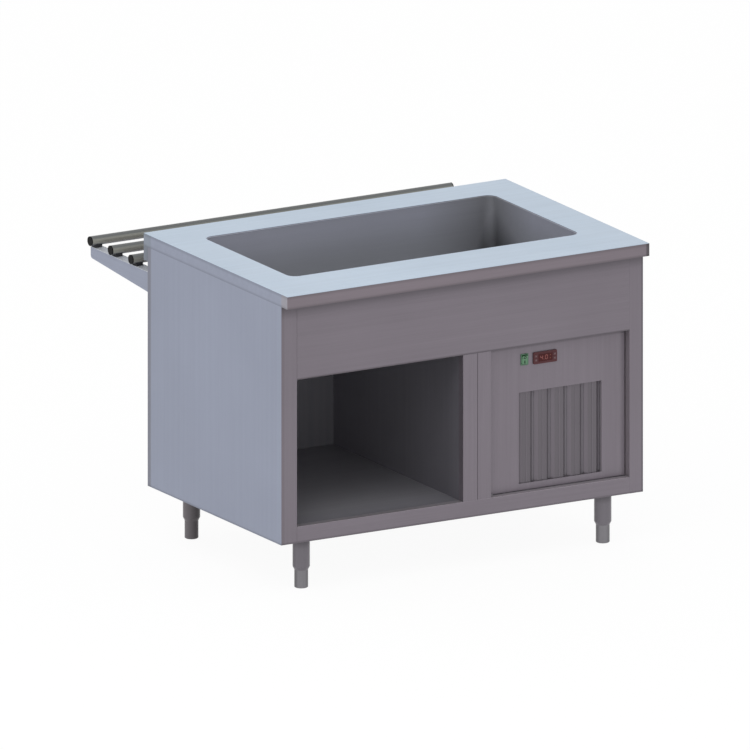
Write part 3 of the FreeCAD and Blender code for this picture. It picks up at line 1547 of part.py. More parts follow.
def blade_section(fan, purpose, radius, chord, angle):
    """Draw a fan blade's thin slanted section at one radius."""
    section = sketch_on(fan, purpose, "YZ_Plane", radius)
    across = (f"({chord}) / 2 * sin({angle} * 1 deg)", f"({chord}) / 2 * cos({angle} * 1 deg)")
    thick = (f"blade_sheet / 2 * cos({angle} * 1 deg)", f"blade_sheet / 2 * sin({angle} * 1 deg)")
    corners = []
    for end, face in ((1, 1), (1, -1), (-1, -1), (-1, 1)):
        corners.append((f"{end} * {across[0]} + {face} * {thick[0]}", f"{end} * {across[1]} - {face} * {thick[1]}"))
    return add_outline(section, corners)


def make_drier():
    """Turn the filter drier that stands beside the condenser."""
    body = new_body("filter_drier", "drier_x", "drier_setback", "floor_top + drier_base_height")
    profile = sketch_on(body, "profile", "XZ_Plane")
    add_outline(
        profile,
        [
            ("0", "0"),
            ("line_radius", "0"),
            ("drier_radius", "drier_neck"),
            ("drier_radius", "drier_height - drier_neck"),
            ("line_radius", "drier_height"),
            ("0", "drier_height"),
        ],
    )
    revolve(profile)


def pipe_along(points, radius, bend):
    """Sweep a round pipe along straight runs joined by tangent arcs."""
    corners = [FreeCAD.Vector(*point) for point in points]
    edges = []
    start = corners[0]
    for before, corner, after in zip(corners, corners[1:], corners[2:]):
        arrive = (before - corner).normalize() * bend
        leave = (after - corner).normalize() * bend
        middle = corner + (arrive + leave) * (1 - math.sqrt(0.5))
        edges.append(Part.LineSegment(start, corner + arrive).toShape())
        edges.append(Part.Arc(corner + arrive, middle, corner + leave).toShape())
        start = corner + leave
    edges.append(Part.LineSegment(start, corners[-1]).toShape())
    direction = corners[1] - corners[0]
    ring = Part.Wire([Part.Circle(corners[0], direction, radius).toShape()])
    return Part.Wire(edges).makePipeShell([ring], True, False)


def make_lines():
    """Lay the four refrigerant lines between coil, drier, condenser and compressor."""
    names = {
        "drop": "line_drop_x",
        "drier": "drier_x",
        "coil_end": "coil_run / 2",
        "coil_z": "coil_z",
        "first_y": "coil_first_y",
        "last_y": "coil_last_y",
        "compressor_y": "compressor_setback",
        "suction_z": "shell_base + suction_height",
        "suction_x": "unit_x + stub_reach",
        "discharge_z": "shell_base + discharge_height",
        "discharge_x": "unit_x - stub_reach",
        "level": "floor_top + liquid_level",
        "drier_y": "drier_setback",
        "drier_low": "floor_top + drier_base_height",
        "drier_high": "floor_top + drier_base_height + drier_height",
        "condenser_y": "condenser_setback + condenser_depth / 2",
        "condenser_left": "unit_x - condenser_length / 2",
        "condenser_right": "unit_x + condenser_length / 2",
        "outlet_z": "tray_top + outlet_height",
        "inlet_z": "tray_top + condenser_height - inlet_drop",
        "reach": "line_side_reach",
    }
    at = {name: value(words) for name, words in names.items()}
    side = at["condenser_left"] - at["reach"]
    routes = [
        [
            (at["coil_end"], at["last_y"], at["coil_z"]),
            (at["drop"], at["last_y"], at["coil_z"]),
            (at["drop"], at["last_y"], at["suction_z"]),
            (at["drop"], at["compressor_y"], at["suction_z"]),
            (at["suction_x"], at["compressor_y"], at["suction_z"]),
        ],
        [
            (at["coil_end"], at["first_y"], at["coil_z"]),
            (at["drier"], at["first_y"], at["coil_z"]),
            (at["drier"], at["first_y"], at["level"]),
            (at["drier"], at["drier_y"], at["level"]),
            (at["drier"], at["drier_y"], at["drier_high"]),
        ],
        [
            (at["condenser_right"], at["condenser_y"], at["outlet_z"]),
            (at["drier"], at["condenser_y"], at["outlet_z"]),
            (at["drier"], at["drier_y"], at["outlet_z"]),
            (at["drier"], at["drier_y"], at["drier_low"]),
        ],
        [
            (at["discharge_x"], at["compressor_y"], at["discharge_z"]),
            (side, at["compressor_y"], at["discharge_z"]),
            (side, at["compressor_y"], at["inlet_z"]),
            (side, at["condenser_y"], at["inlet_z"]),
            (at["condenser_left"], at["condenser_y"], at["inlet_z"]),
        ],
    ]
    pipes = [pipe_along(route, value("line_radius"), value("line_bend")) for route in routes]
    lines = document.addObject("Part::Feature", "refrigerant_lines")
    lines.Shape = Part.makeCompound(pipes)
    lines.Placement.Base = FreeCAD.Vector(0, value("front_y"), 0)
    node(lines, "refrigerant_lines")


def make_gland():
    """Turn the gland that takes the supply cord through the floor."""
    body = new_body("cable_gland", "gland_x", "gland_y", "floor_top")
    profile = sketch_on(body, "profile", "XZ_Plane")
    add_outline(
        profile,
        [
            ("gland_bore_radius", "gland_nut_height"),
            ("gland_bore_radius", "-panel_sheet - gland_body_height"),
            ("gland_flange_radius - gland_chamfer", "-panel_sheet - gland_body_height"),
            ("gland_flange_radius", "gland_chamfer - panel_sheet - gland_body_height"),
            ("gland_flange_radius", "-panel_sheet"),
            ("gland_neck_radius", "-panel_sheet"),
            ("gland_neck_radius", "0"),
            ("gland_flange_radius", "0"),
            ("gland_flange_radius", "gland_nut_height"),
        ],
    )
    revolve(profile)


# Tray slide
def slide_names():
    """Give the slide's tubes, from the body outwards, with their distances."""
    count = int(value("slide_tubes"))
    return [(f"tray_tube_{index + 1}", f"(body_depth + slide_first + {index} * slide_pitch)") for index in range(count)]


def make_slide_tubes():
    """Make the tubes that carry the trays, and the plug in each tube's end."""
    caps = []
    for label, y in slide_names():
        tube = new_body(label, "-slide_cap_end", y, "slide_height")
        section = sketch_on(tube, "section", "YZ_Plane")
        add_circle(section, "0", "0", "slide_radius")
        add_circle(section, "0", "0", "slide_radius - slide_wall")
        pad(section, "2 * slide_cap_end")
        for side, sign in SIDES.items():
            edge = "-half_length" if sign < 0 else "slide_cap_end"
            plug_start = "-slide_cap_end" if sign < 0 else "slide_cap_end - cap_plug_length"
            name = f"{label}_{side}"
            flange = cylinder(f"{name}_flange", "slide_radius", "cap_flange", edge, y, "slide_height", "x")
            plug_radius = "slide_radius - slide_wall - cap_plug_gap"
            plug = cylinder(f"{name}_plug", plug_radius, "cap_plug_length", plug_start, y, "slide_height", "x")
            caps.append(fuse(f"{name}_cap", [flange, plug]))
    group("tube_end_caps", caps)


def make_brackets():
    """Fold the two tapered brackets, with shelf and bolting flange."""
    for side, sign in SIDES.items():
        body = new_body(f"tray_bracket_{side}", y="body_depth", z="bracket_top_height")
        outer = "(half_length - bracket_side_inset)"
        start = f"-{outer}" if sign < 0 else f"{outer} - bracket_sheet"
        plate = sketch_on(body, "plate", "YZ_Plane", start)
        tip = "bracket_reach"
        add_outline(
            plate,
            [
                ("0", "0"),
                ("0", "-bracket_root_height"),
                (tip, "-bracket_tip_height"),
                (tip, "0"),
            ],
        )
        pad(plate, "bracket_sheet")
        end = value(tip)
        lower = -value("bracket_tip_height")

        def at_corner(edge):
            return near(edge.BoundBox.YMin, end) and near(level_of(edge), lower)

        round_edges(body, "corner", "bracket_corner_radius", at_corner)

        def inward(distance):
            return f"{sign} * ({outer} - ({distance}))"

        shelf = sketch_on(body, "shelf", "XY_Plane")
        add_rectangle(shelf, inward("0"), inward("bracket_shelf"), "0", tip)
        pad(shelf, "bracket_sheet", forward=False)
        flange = sketch_on(body, "flange", "XZ_Plane")
        flange_reach = "back_return - bracket_side_inset"
        add_rectangle(flange, inward("0"), inward(flange_reach), "-bracket_root_height", "0")
        pad(flange, "bracket_sheet")
        holes = sketch_on(body, "holes", "XZ_Plane", "-overrun")
        for height in bolt_heights():
            x = f"{sign} * (half_length - bolt_side_inset)"
            add_circle(holes, x, f"{height} - bracket_top_height", "bolt_radius + bolt_hole_clearance")
        pocket(holes, "bracket_sheet + 2 * overrun")


def make_saddles():
    """Hollow a saddle under each end of each tube."""
    saddles = []
    for label, y in slide_names():
        for side, sign in SIDES.items():
            outer = f"half_length - bracket_side_inset - saddle_inset"
            x = f"-({outer})" if sign < 0 else f"{outer} - saddle_width"
            name = f"{label}_{side}_saddle"
            block = box(
                f"{name}_block",
                "saddle_width",
                "saddle_depth",
                "saddle_height",
                x,
                f"{y} - saddle_depth / 2",
                "bracket_top_height",
            )
            radius = "slide_radius + saddle_gap"
            bar = cylinder(f"{name}_seat", radius, "counter_length", "-half_length", y, "slide_height", "x")
            saddles.append(cut(name, block, bar))
    group("tube_saddles", saddles)


def make_bolts():
    """Bolt each bracket through the side panel's return and the back panel."""
    bolts = []
    for side, sign in SIDES.items():
        for index, height in enumerate(bolt_heights()):
            bolt = document.addObject("PartDesign::Body", f"bolt_{side}_{index}")
            place(bolt, f"{sign} * (half_length - bolt_side_inset)", "body_depth", height)
            shank = sketch_on(bolt, "shank", "XZ_Plane", "-2 * panel_sheet - bolt_head_height")
            add_circle(shank, "0", "0", "bolt_radius")
            pad(shank, "2 * panel_sheet + bolt_head_height + bracket_sheet + bolt_head_height")
            head = sketch_on(bolt, "head", "XZ_Plane", "bracket_sheet")
            add_hexagon(head, "bolt_head_radius")
            pad(head, "bolt_head_height")
            nut = sketch_on(bolt, "nut", "XZ_Plane", "-2 * panel_sheet")
            add_hexagon(nut, "bolt_head_radius")
            pad(nut, "bolt_head_height", forward=False)
            bolts.append(bolt)
    group("bracket_bolts", bolts)


def check_and_save():
    """Check every feature and write each node's solids to its own file."""
    document.recompute()
    for item in document.Objects:
        if "Invalid" in item.State or "Error" in item.State:
            raise RuntimeError(f"{item.Name} failed: {item.State}")
        if item.TypeId == "PartDesign::Pocket" and item.Shape.Volume >= item.BaseFeature.Shape.Volume:
            raise RuntimeError(f"{item.Name} cuts nothing")
    os.makedirs("parts", exist_ok=True)
    for piece in nodes:
        shape = piece.Shape
        if shape.isNull() or not shape.isValid():
            raise RuntimeError(f"{piece.Label} has no valid shape")
        shape.exportStep(f"parts/{piece.Label}.step")
        print(piece.Label, len(shape.Solids), round(shape.Volume))


make_worktop()
make_tank()
make_insulation()
make_coil()
make_strainer()
make_drain()
make_side_panel("left", "left_stile_width")
make_side_panel("right", "right_stile_width")
make_back_panel()
make_front()
make_linings()
make_base()
make_legs()
make_door()
make_hinges()
make_catch()
make_grille()
make_switch()
make_controller()
make_unit_tray()
make_compressor()
make_compressor_fittings()
make_condenser()
make_fan()
make_drier()
make_lines()
make_gland()
make_slide_tubes()
make_brackets()
make_saddles()
make_bolts()
check_and_save()
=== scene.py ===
"""Refrigerated bain-marie counter.

Dresses the fixed counter in its steels, plastics and rubber, and adds the small
fittings that its maker puts on it. Metres: X to the operator's right, -Y the
operator's side, Z up, with the floor at zero.
"""
import sys
import logging
import math
from dataclasses import dataclass, replace
from enum import Enum
from typing import Callable, Sequence

import bmesh
import bpy
from mathutils import Euler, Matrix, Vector


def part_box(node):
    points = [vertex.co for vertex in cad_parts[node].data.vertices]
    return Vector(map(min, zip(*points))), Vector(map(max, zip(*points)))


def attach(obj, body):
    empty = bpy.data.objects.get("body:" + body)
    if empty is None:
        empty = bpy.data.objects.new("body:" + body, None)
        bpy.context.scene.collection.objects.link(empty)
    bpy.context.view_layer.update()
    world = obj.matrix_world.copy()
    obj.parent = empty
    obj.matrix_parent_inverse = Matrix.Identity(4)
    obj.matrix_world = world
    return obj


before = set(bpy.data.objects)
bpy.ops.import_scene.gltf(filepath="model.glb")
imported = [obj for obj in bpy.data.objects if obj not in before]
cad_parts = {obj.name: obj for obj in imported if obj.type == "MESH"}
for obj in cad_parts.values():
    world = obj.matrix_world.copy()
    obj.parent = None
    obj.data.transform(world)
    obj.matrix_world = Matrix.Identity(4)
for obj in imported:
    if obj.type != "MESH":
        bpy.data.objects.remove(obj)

log = logging.getLogger("counter")

Colour = tuple[float, float, float, float]
Point = tuple[float, float, float]
Part = bmesh.types.BMVert | bmesh.types.BMEdge | bmesh.types.BMFace
Piece = bpy.types.Object
Socket = bpy.types.NodeSocket
Given = bpy.types.NodeOutputs

LEFT: Point = (-1.0, 0.0, 0.0)
RIGHT: Point = (1.0, 0.0, 0.0)
FRONT: Point = (0.0, -1.0, 0.0)
BACK: Point = (0.0, 1.0, 0.0)
DOWN: Point = (0.0, 0.0, -1.0)
UP: Point = (0.0, 0.0, 1.0)
WHITE: Colour = (1.0, 1.0, 1.0, 1.0)

# How far the middle of a round wire stands off what it is welded to, as a share of its radius
WIRE_SEAT = 0.8


def linear(code: str) -> Colour:
    """Turn a six-digit screen colour into the values that a shader takes.

    Args:
        code: Red, green and blue as six hexadecimal digits.

    Returns:
        The linear colour with a full alpha.
    """
    parts = [int(code[start : start + 2], 16) / 255 for start in (0, 2, 4)]
    red, green, blue = (c / 12.92 if c <= 0.04045 else ((c + 0.055) / 1.055) ** 2.4 for c in parts)
    return (red, green, blue, 1.0)


class Grain(Enum):
    """The way that a sheet was brushed, as stretches of the pattern along X, Y and Z."""

    ALONG_X = (6.0, 700.0, 700.0)
    ALONG_Y = (700.0, 6.0, 700.0)
    ALONG_Z = (700.0, 700.0, 6.0)


class Graph:
    """A shader tree that is filled node by node."""

    def __init__(self, tree: bpy.types.NodeTree) -> None:
        """Take the tree to fill."""
        self.tree = tree

    def add(self, kind: str, inputs: dict | None = None, **choices: object) -> bpy.types.Node:
        """Add one node, set its choices and feed its inputs.

        Args:
            kind: The node's type, without its usual first word.
            inputs: Numbers, colours or sockets by the name or number of the input.
            **choices: Settings of the node itself.

        Returns:
            The new node.
        """
        node = self.tree.nodes.new(kind if kind.startswith("Node") else f"ShaderNode{kind}")
        for name, choice in choices.items():
            setattr(node, name, choice)
        for name, value in (inputs or {}).items():
            self.feed(node.inputs[name], value)
        return node

    def feed(self, socket: Socket, value: object) -> None:
        """Link a socket into an input, or write a number or colour there.

        Args:
            socket: The input.
            value: A socket, a number or a colour.
        """
        if isinstance(value, bpy.types.NodeSocket):
            self.tree.links.new(value, socket)
        else:
            socket.default_value = value

    def effect(self, kind: type["Effect"], inputs: dict) -> bpy.types.Node:
        """Place a shared effect with its own values."""
        return self.add("Group", inputs, node_tree=kind.tree())

    def math(self, operation: str, *values: object, clamp: bool = False) -> Socket:
        """Work out one number from others."""
        return self.add("Math", dict(enumerate(values)), operation=operation, use_clamp=clamp).outputs[0]

    def blend(self, share: object, first: object, second: object, way: str = "MIX") -> Socket:
        """Mix two colours by a share."""
        inputs = {0: share, 6: first, 7: second}
        return self.add("Mix", inputs, data_type="RGBA", blend_type=way).outputs[2]

    def spread(self, value: object, low: float, high: float) -> Socket:
        """Spread the part of a value between two levels over nought to one."""
        return self.add("MapRange", {"Value": value, "From Min": low, "From Max": high}).outputs["Result"]

    def scaled(self, colour: object, level: object) -> Socket:
        """Make a colour lighter or darker by a factor."""
        return self.add("VectorMath", {0: colour, "Scale": level}, operation="SCALE").outputs[0]

    def around_one(self, value: object, swing: float) -> Socket:
        """Turn nought to one into a factor that swings round one."""
        return self.math("MULTIPLY_ADD", value, swing, 1.0 - swing / 2)

    def noise(self, place: object, scale: object, detail: float, **more: float) -> Socket:
        """Give a soft noise.

        Args:
            place: Where the noise is read.
            scale: How close its spots lie.
            detail: How many finer layers it has.
            **more: Other inputs of the noise, in small letters.

        Returns:
            The noise, from nought to one.
        """
        inputs = {"Vector": place, "Scale": scale, "Detail": detail}
        inputs.update({name.capitalize(): value for name, value in more.items()})
        return self.add("TexNoise", inputs).outputs[0]


# Effects that several finishes share
class Effect:
    """A shared node group with named inputs and outputs, built the first time it is asked for."""

    name = ""
    takes: dict[str, object] = {}
    gives: dict[str, str] = {}

    @classmethod
    def tree(cls) -> bpy.types.ShaderNodeTree:
        """Give the group's tree.

        Returns:
            The tree, which every material shares.
        """
        made = bpy.data.node_groups.get(cls.name)
        if made is not None:
            return made
        made = bpy.data.node_groups.new(cls.name, "ShaderNodeTree")
        for name, value in cls.takes.items():
            kind = "Float" if isinstance(value, float) else "Color" if len(value) == 4 else "Vector"
            socket = made.interface.new_socket(name, in_out="INPUT", socket_type=f"NodeSocket{kind}")
            socket.default_value = value
        for name, kind in cls.gives.items():
            made.interface.new_socket(name, in_out="OUTPUT", socket_type=f"NodeSocket{kind}")
        graph = Graph(made)
        given = graph.add("NodeGroupInput").outputs
        graph.add("NodeGroupOutput", cls.fill(graph, given))
        return made

    @classmethod
    def fill(cls, graph: Graph, given: Given) -> dict[str, Socket]:
        """Build the nodes between the inputs and the outputs.

        Args:
            graph: The group's own tree.
            given: The sockets of the group's inputs.

        Returns:
            The finished sockets by the name of the output.
        """
        raise NotImplementedError


class BrushedGrain(Effect):
    """Long fine scratches that a belt leaves on sheet steel."""

    name = "brushed_grain"
    takes = {"Vector": (0.0, 0.0, 0.0), "Stretch": (1.0, 1.0, 1.0)}
    gives = {"Streak": "Float", "Height": "Float"}
    broad_scale = 0.09
    broad_share = 0.45
    streak_range = (0.35, 0.65)

    @classmethod
    def fill(cls, graph: Graph, given: Given) -> dict[str, Socket]:
        """Mix fine and broad streaks of a stretched noise.

        Args:
            graph: The group's own tree.
            given: The place, and how far the grain is stretched.

        Returns:
            How bright the streaks are, and the relief of the scratches.
        """
        stretched = {0: given["Vector"], 1: given["Stretch"]}
        drawn = graph.add("VectorMath", stretched, operation="MULTIPLY").outputs[0]
        fine = graph.noise(drawn, 1.0, detail=2.0)
        broad = graph.noise(drawn, cls.broad_scale, detail=2.0)
        rest = graph.math("MULTIPLY", fine, 1.0 - cls.broad_share)
        mixed = graph.math("MULTIPLY_ADD", broad, cls.broad_share, rest)
        return {"Streak": graph.spread(mixed, *cls.streak_range), "Height": fine}


class ToneDrift(Effect):
    """Slow changes of tone across a surface."""

    name = "tone_drift"
    takes = {"Vector": (0.0, 0.0, 0.0), "Colour": (0.5, 0.5, 0.5, 1.0), "Size": 2.0, "Amount": 0.05}
    gives = {"Colour": "Color"}
    cloud_range = (0.3, 0.7)

    @classmethod
    def fill(cls, graph: Graph, given: Given) -> dict[str, Socket]:
        """Lighten and darken a colour by a large soft noise.

        Args:
            graph: The group's own tree.
            given: The place, the colour, and the noise's size and amount.

        Returns:
            The toned colour.
        """
        cloud = graph.noise(given["Vector"], given["Size"], detail=3.0)
        off = graph.math("SUBTRACT", graph.spread(cloud, *cls.cloud_range), 0.5)
        swing = graph.math("MULTIPLY", off, given["Amount"])
        level = graph.math("MULTIPLY_ADD", swing, 2.0, 1.0)
        return {"Colour": graph.scaled(given["Colour"], level)}


class EdgeGlintAndWear(Effect):
    """The mask of folds and worn edges: steel takes a painted highlight there, plastic and paint their wear.
    """

    name = "edge_glint_and_wear"
    takes = {"Radius": 0.0015, "Gain": 3.0}
    gives = {"Mask": "Float"}
    samples = 6

    @classmethod
    def fill(cls, graph: Graph, given: Given) -> dict[str, Socket]:
        """Compare the surface's normal with one softened round its edges.

        Args:
            graph: The group's own tree.
            given: The width of the line and how quickly it shows.

        Returns:
            One on the edges and nought on flat sheet.
        """
        soft = graph.add("Bevel", {"Radius": given["Radius"]}, samples=cls.samples).outputs[0]
        plain = graph.add("NewGeometry").outputs["Normal"]
        alike = graph.add("VectorMath", {0: soft, 1: plain}, operation="DOT_PRODUCT").outputs["Value"]
        bent = graph.math("SUBTRACT", 1.0, alike)
        return {"Mask": graph.math("MULTIPLY", bent, given["Gain"], clamp=True)}


class FaceMask(Effect):
    """One side of a piece, picked by how far it lies along a direction."""

    name = "face_mask"
    takes = {"Vector": (0.0, 0.0, 0.0), "Way": UP, "Level": 0.0, "Softness": 0.0003}
    gives = {"Mask": "Float"}

    @classmethod
    def fill(cls, graph: Graph, given: Given) -> dict[str, Socket]:
        """Rise from nought to one past the level.

        Args:
            graph: The group's own tree.
            given: The place or normal, the direction, the level and the softness.

        Returns:
            One past the level and nought before it.
        """
        reach = {0: given["Vector"], 1: given["Way"]}
        along = graph.add("VectorMath", reach, operation="DOT_PRODUCT").outputs["Value"]
        past = graph.math("SUBTRACT", along, given["Level"])
        return {"Mask": graph.math("DIVIDE", past, given["Softness"], clamp=True)}


class Smudges(Effect):
    """Wiped patches and faint marks of hands, which change the gloss."""

    name = "smudges"
    takes = {"Vector": (0.0, 0.0, 0.0), "Base": 0.35, "Amount": 0.08}
    gives = {"Roughness": "Float"}
    wiped_scale = 5.0
    mark_scale = 38.0
    mark_share = 0.35
    patch_range = (0.45, 0.95)
    clean_level = 0.4

    @classmethod
    def fill(cls, graph: Graph, given: Given) -> dict[str, Socket]:
        """Add patches of two sizes to the base roughness.

        Args:
            graph: The group's own tree.
            given: The place, the base roughness and the amount.

        Returns:
            The roughness with its patches.
        """
        wiped = graph.noise(given["Vector"], cls.wiped_scale, detail=4.0, distortion=0.6)
        marks = graph.noise(given["Vector"], cls.mark_scale, detail=2.0)
        both = graph.math("MULTIPLY_ADD", marks, cls.mark_share, wiped)
        level = graph.math("SUBTRACT", graph.spread(both, *cls.patch_range), cls.clean_level)
        return {"Roughness": graph.math("MULTIPLY_ADD", level, given["Amount"], given["Base"], clamp=True)}


class Pores(Effect):
    """The fine pitted grain of moulded plastic, rubber and foam."""

    name = "pores"
    takes = {"Vector": (0.0, 0.0, 0.0), "Size": 900.0}
    gives = {"Height": "Float", "Cell": "Float"}
    cell_share = 0.6

    @classmethod
    def fill(cls, graph: Graph, given: Given) -> dict[str, Socket]:
        """Mix cells with a fine noise.

        Args:
            graph: The group's own tree.
            given: The place and how close the cells lie.

        Returns:
            The relief, and a value of its own for each cell.
        """
        cells = graph.add("TexVoronoi", {"Vector": given["Vector"], "Scale": given["Size"]})
        dust = graph.noise(given["Vector"], given["Size"], detail=2.0)
        height = graph.math("MULTIPLY_ADD", cells.outputs["Distance"], cls.cell_share, dust)
        cell = graph.add("SeparateColor", {"Color": cells.outputs["Color"]})
        return {"Height": height, "Cell": cell.outputs[0]}


# Finishes
@dataclass(frozen=True)
class ToneAndLight:
    """A part of a piece in another tone: most are painted light or painted shade, a few are the part's own
    colour.

    Attributes:
        way: The direction along which it starts.
        level: Where along that direction it starts.
        colour: Its tone.
        softness: The width over which it fades in.
        facing: Whether the direction that a face looks in counts, and not where it lies; by facing it paints
            light and shade.
        shade: Whether the tone only darkens what lies under it, as painted shade.
    """

    way: Point
    level: float
    colour: str
    softness: float = 0.0003
    facing: bool = False
    shade: bool = False


@dataclass(frozen=True)
class Finish:
    """What every finish has.

    Attributes:
        name: What its material is named after.
        colour: Its main tone.
        roughness: How dull it is.
        metallic: How metallic it is.
        drift: How far its tone wanders.
        drift_size: How close together the changes of tone lie.
        smudge: How far wiped patches change the gloss.
        shine: How strongly a plain surface mirrors.
        tones_and_light: The parts of a piece in other tones, most of them painted light or painted shade.
        relief: How strongly its relief shows.
        relief_depth: How deep the relief is.
        edge_radius: How wide its folds and worn edges are.
        edge_gain: How quickly they show as a surface turns.
    """

    name: str
    colour: str
    roughness: float = 0.4
    metallic: float = 0.0
    drift: float = 0.04
    drift_size: float = 2.0
    smudge: float = 0.06
    shine: float = 0.5
    tones_and_light: tuple[ToneAndLight, ...] = ()
    relief: float = 0.05
    relief_depth: float = 0.0004
    edge_radius: float = 0.0012
    edge_gain: float = 2.5

    def material(self) -> bpy.types.Material:
        """Give the material, and build it the first time.

        Returns:
            The material, which all pieces of this finish share.
        """
        name = f"finish_{self.name}"
        made = bpy.data.materials.get(name)
        if made is not None:
            return made
        made = bpy.data.materials.new(name)
        made.use_nodes = True
        made.node_tree.nodes.clear()
        made.diffuse_color = linear(self.colour)
        graph = Graph(made.node_tree)
        place = graph.add("TexCoord").outputs["Object"]
        shader = graph.add("BsdfPrincipled", {"Metallic": self.metallic, "Specular IOR Level": self.shine})
        gloss = graph.effect(Smudges, {"Vector": place, "Base": self.roughness, "Amount": self.smudge})
        graph.feed(shader.inputs["Roughness"], gloss.outputs["Roughness"])
        self.dress(graph, place, shader)
        graph.add("OutputMaterial", {"Surface": shader.outputs["BSDF"]})
        return made

    def toned(self, graph: Graph, place: Socket, colour: object) -> Socket:
        """Let a colour drift a little over the piece."""
        values = {"Vector": place, "Colour": colour, "Size": self.drift_size, "Amount": self.drift}
        return graph.effect(ToneDrift, values).outputs["Colour"]

    def toned_and_lit(self, graph: Graph, place: Socket) -> Socket:
        """Lay the other tones, most of them painted light or painted shade, over the colour in their order,
        and let it drift.

        Args:
            graph: The material's tree.
            place: The place on the piece.

        Returns:
            The colour of every spot.
        """
        colour: object = linear(self.colour)
        for zone in self.tones_and_light:
            vector = graph.add("TexCoord").outputs["Normal"] if zone.facing else place
            values = {"Vector": vector, "Way": zone.way, "Level": zone.level, "Softness": zone.softness}
            mask = graph.effect(FaceMask, values).outputs["Mask"]
            colour = graph.blend(mask, colour, linear(zone.colour), "MULTIPLY" if zone.shade else "MIX")
        return self.toned(graph, place, colour)

    def edged(self, graph: Graph, under: object, over: object, amount: float) -> Socket:
        """Lay another colour along the folds and worn edges: a painted highlight on steel, wear on plastic
        and paint.

        Args:
            graph: The material's tree.
            under: The colour of the surface.
            over: The colour of its edges.
            amount: How much of that shows.

        Returns:
            The mixed colour.
        """
        edge = graph.effect(EdgeGlintAndWear, {"Radius": self.edge_radius, "Gain": self.edge_gain})
        return graph.blend(graph.math("MULTIPLY", edge.outputs["Mask"], amount), under, over)

    def raised(self, graph: Graph, shader: bpy.types.Node, height: Socket) -> None:
        """Feed a fine relief to the shader.

        Args:
            graph: The material's tree.
            shader: The surface shader.
            height: The socket that gives the relief.
        """
        values = {"Strength": self.relief, "Distance": self.relief_depth, "Height": height}
        graph.feed(shader.inputs["Normal"], graph.add("Bump", values).outputs["Normal"])

    def dress(self, graph: Graph, place: Socket, shader: bpy.types.Node) -> None:
        """Feed the finish's own colour and relief to the shader.

        Args:
            graph: The material's tree.
            place: The place on the piece.
            shader: The surface shader.
        """
        raise NotImplementedError


@dataclass(frozen=True)
class BrushedSteel(Finish):
    """Sheet or tube steel with a belt grain, painted light in a tone per face and a painted highlight along
    its folds.

    Attributes:
        grain: The way that it was brushed.
        streaks: How far the streaks lighten or darken it.
        glint: How strongly the painted highlight along its folds shows.
        glint_level: How bright that painted highlight is.
    """

    roughness: float = 0.34
    metallic: float = 0.5
    grain: Grain = Grain.ALONG_X
    streaks: float = 0.05
    glint: float = 0.25
    glint_level: float = 1.5

    def dress(self, graph: Graph, place: Socket, shader: bpy.types.Node) -> None:
        """Lay the painted light of the faces' tones, the grain and the painted highlight along the folds.

        Args:
            graph: The material's tree.
            place: The place on the piece.
            shader: The surface shader.
        """
        grain = graph.effect(BrushedGrain, {"Vector": place, "Stretch": self.grain.value}).outputs
        level = graph.around_one(grain["Streak"], 2 * self.streaks)
        brushed = graph.scaled(self.toned_and_lit(graph, place), level)
        bright = graph.scaled(brushed, self.glint_level)
        graph.feed(shader.inputs["Base Color"], self.edged(graph, brushed, bright, self.glint))
        self.raised(graph, shader, grain["Height"])


@dataclass(frozen=True)
class ZincPlate(Finish):
    """Zinc-coated steel with its faint crystals.

    Attributes:
        crystals: How close together the crystals lie.
        contrast: How far they differ in tone.
    """

    roughness: float = 0.42
    metallic: float = 1.0
    relief: float = 0.06
    relief_depth: float = 0.0002
    crystals: float = 90.0
    contrast: float = 0.22

    def dress(self, graph: Graph, place: Socket, shader: bpy.types.Node) -> None:
        """Tone each crystal a little differently.

        Args:
            graph: The material's tree.
            place: The place on the piece.
            shader: The surface shader.
        """
        pores = graph.effect(Pores, {"Vector": place, "Size": self.crystals}).outputs
        toned = self.toned(graph, place, linear(self.colour))
        level = graph.around_one(pores["Cell"], self.contrast)
        graph.feed(shader.inputs["Base Color"], graph.scaled(toned, level))
        self.raised(graph, shader, pores["Height"])


@dataclass(frozen=True)
class Moulding(Finish):
    """Moulded plastic or rubber with a fine grain and paler worn edges.

    Attributes:
        grain_size: How close together the pits of the grain lie.
        worn: How much of the wear shows.
        worn_colour: What the edges wear towards.
        worn_share: How far they wear towards it.
    """

    relief: float = 0.15
    relief_depth: float = 0.0001
    edge_radius: float = 0.0006
    edge_gain: float = 2.0
    grain_size: float = 1400.0
    worn: float = 0.2
    worn_colour: Colour = (0.6, 0.6, 0.6, 1.0)
    worn_share: float = 0.35

    def dress(self, graph: Graph, place: Socket, shader: bpy.types.Node) -> None:
        """Lay the colour, the grain and the wear.

        Args:
            graph: The material's tree.
            place: The place on the piece.
            shader: The surface shader.
        """
        pores = graph.effect(Pores, {"Vector": place, "Size": self.grain_size}).outputs
        toned = self.toned_and_lit(graph, place)
        pale = graph.blend(self.worn_share, toned, self.worn_colour)
        graph.feed(shader.inputs["Base Color"], self.edged(graph, toned, pale, self.worn))
        self.raised(graph, shader, pores["Height"])


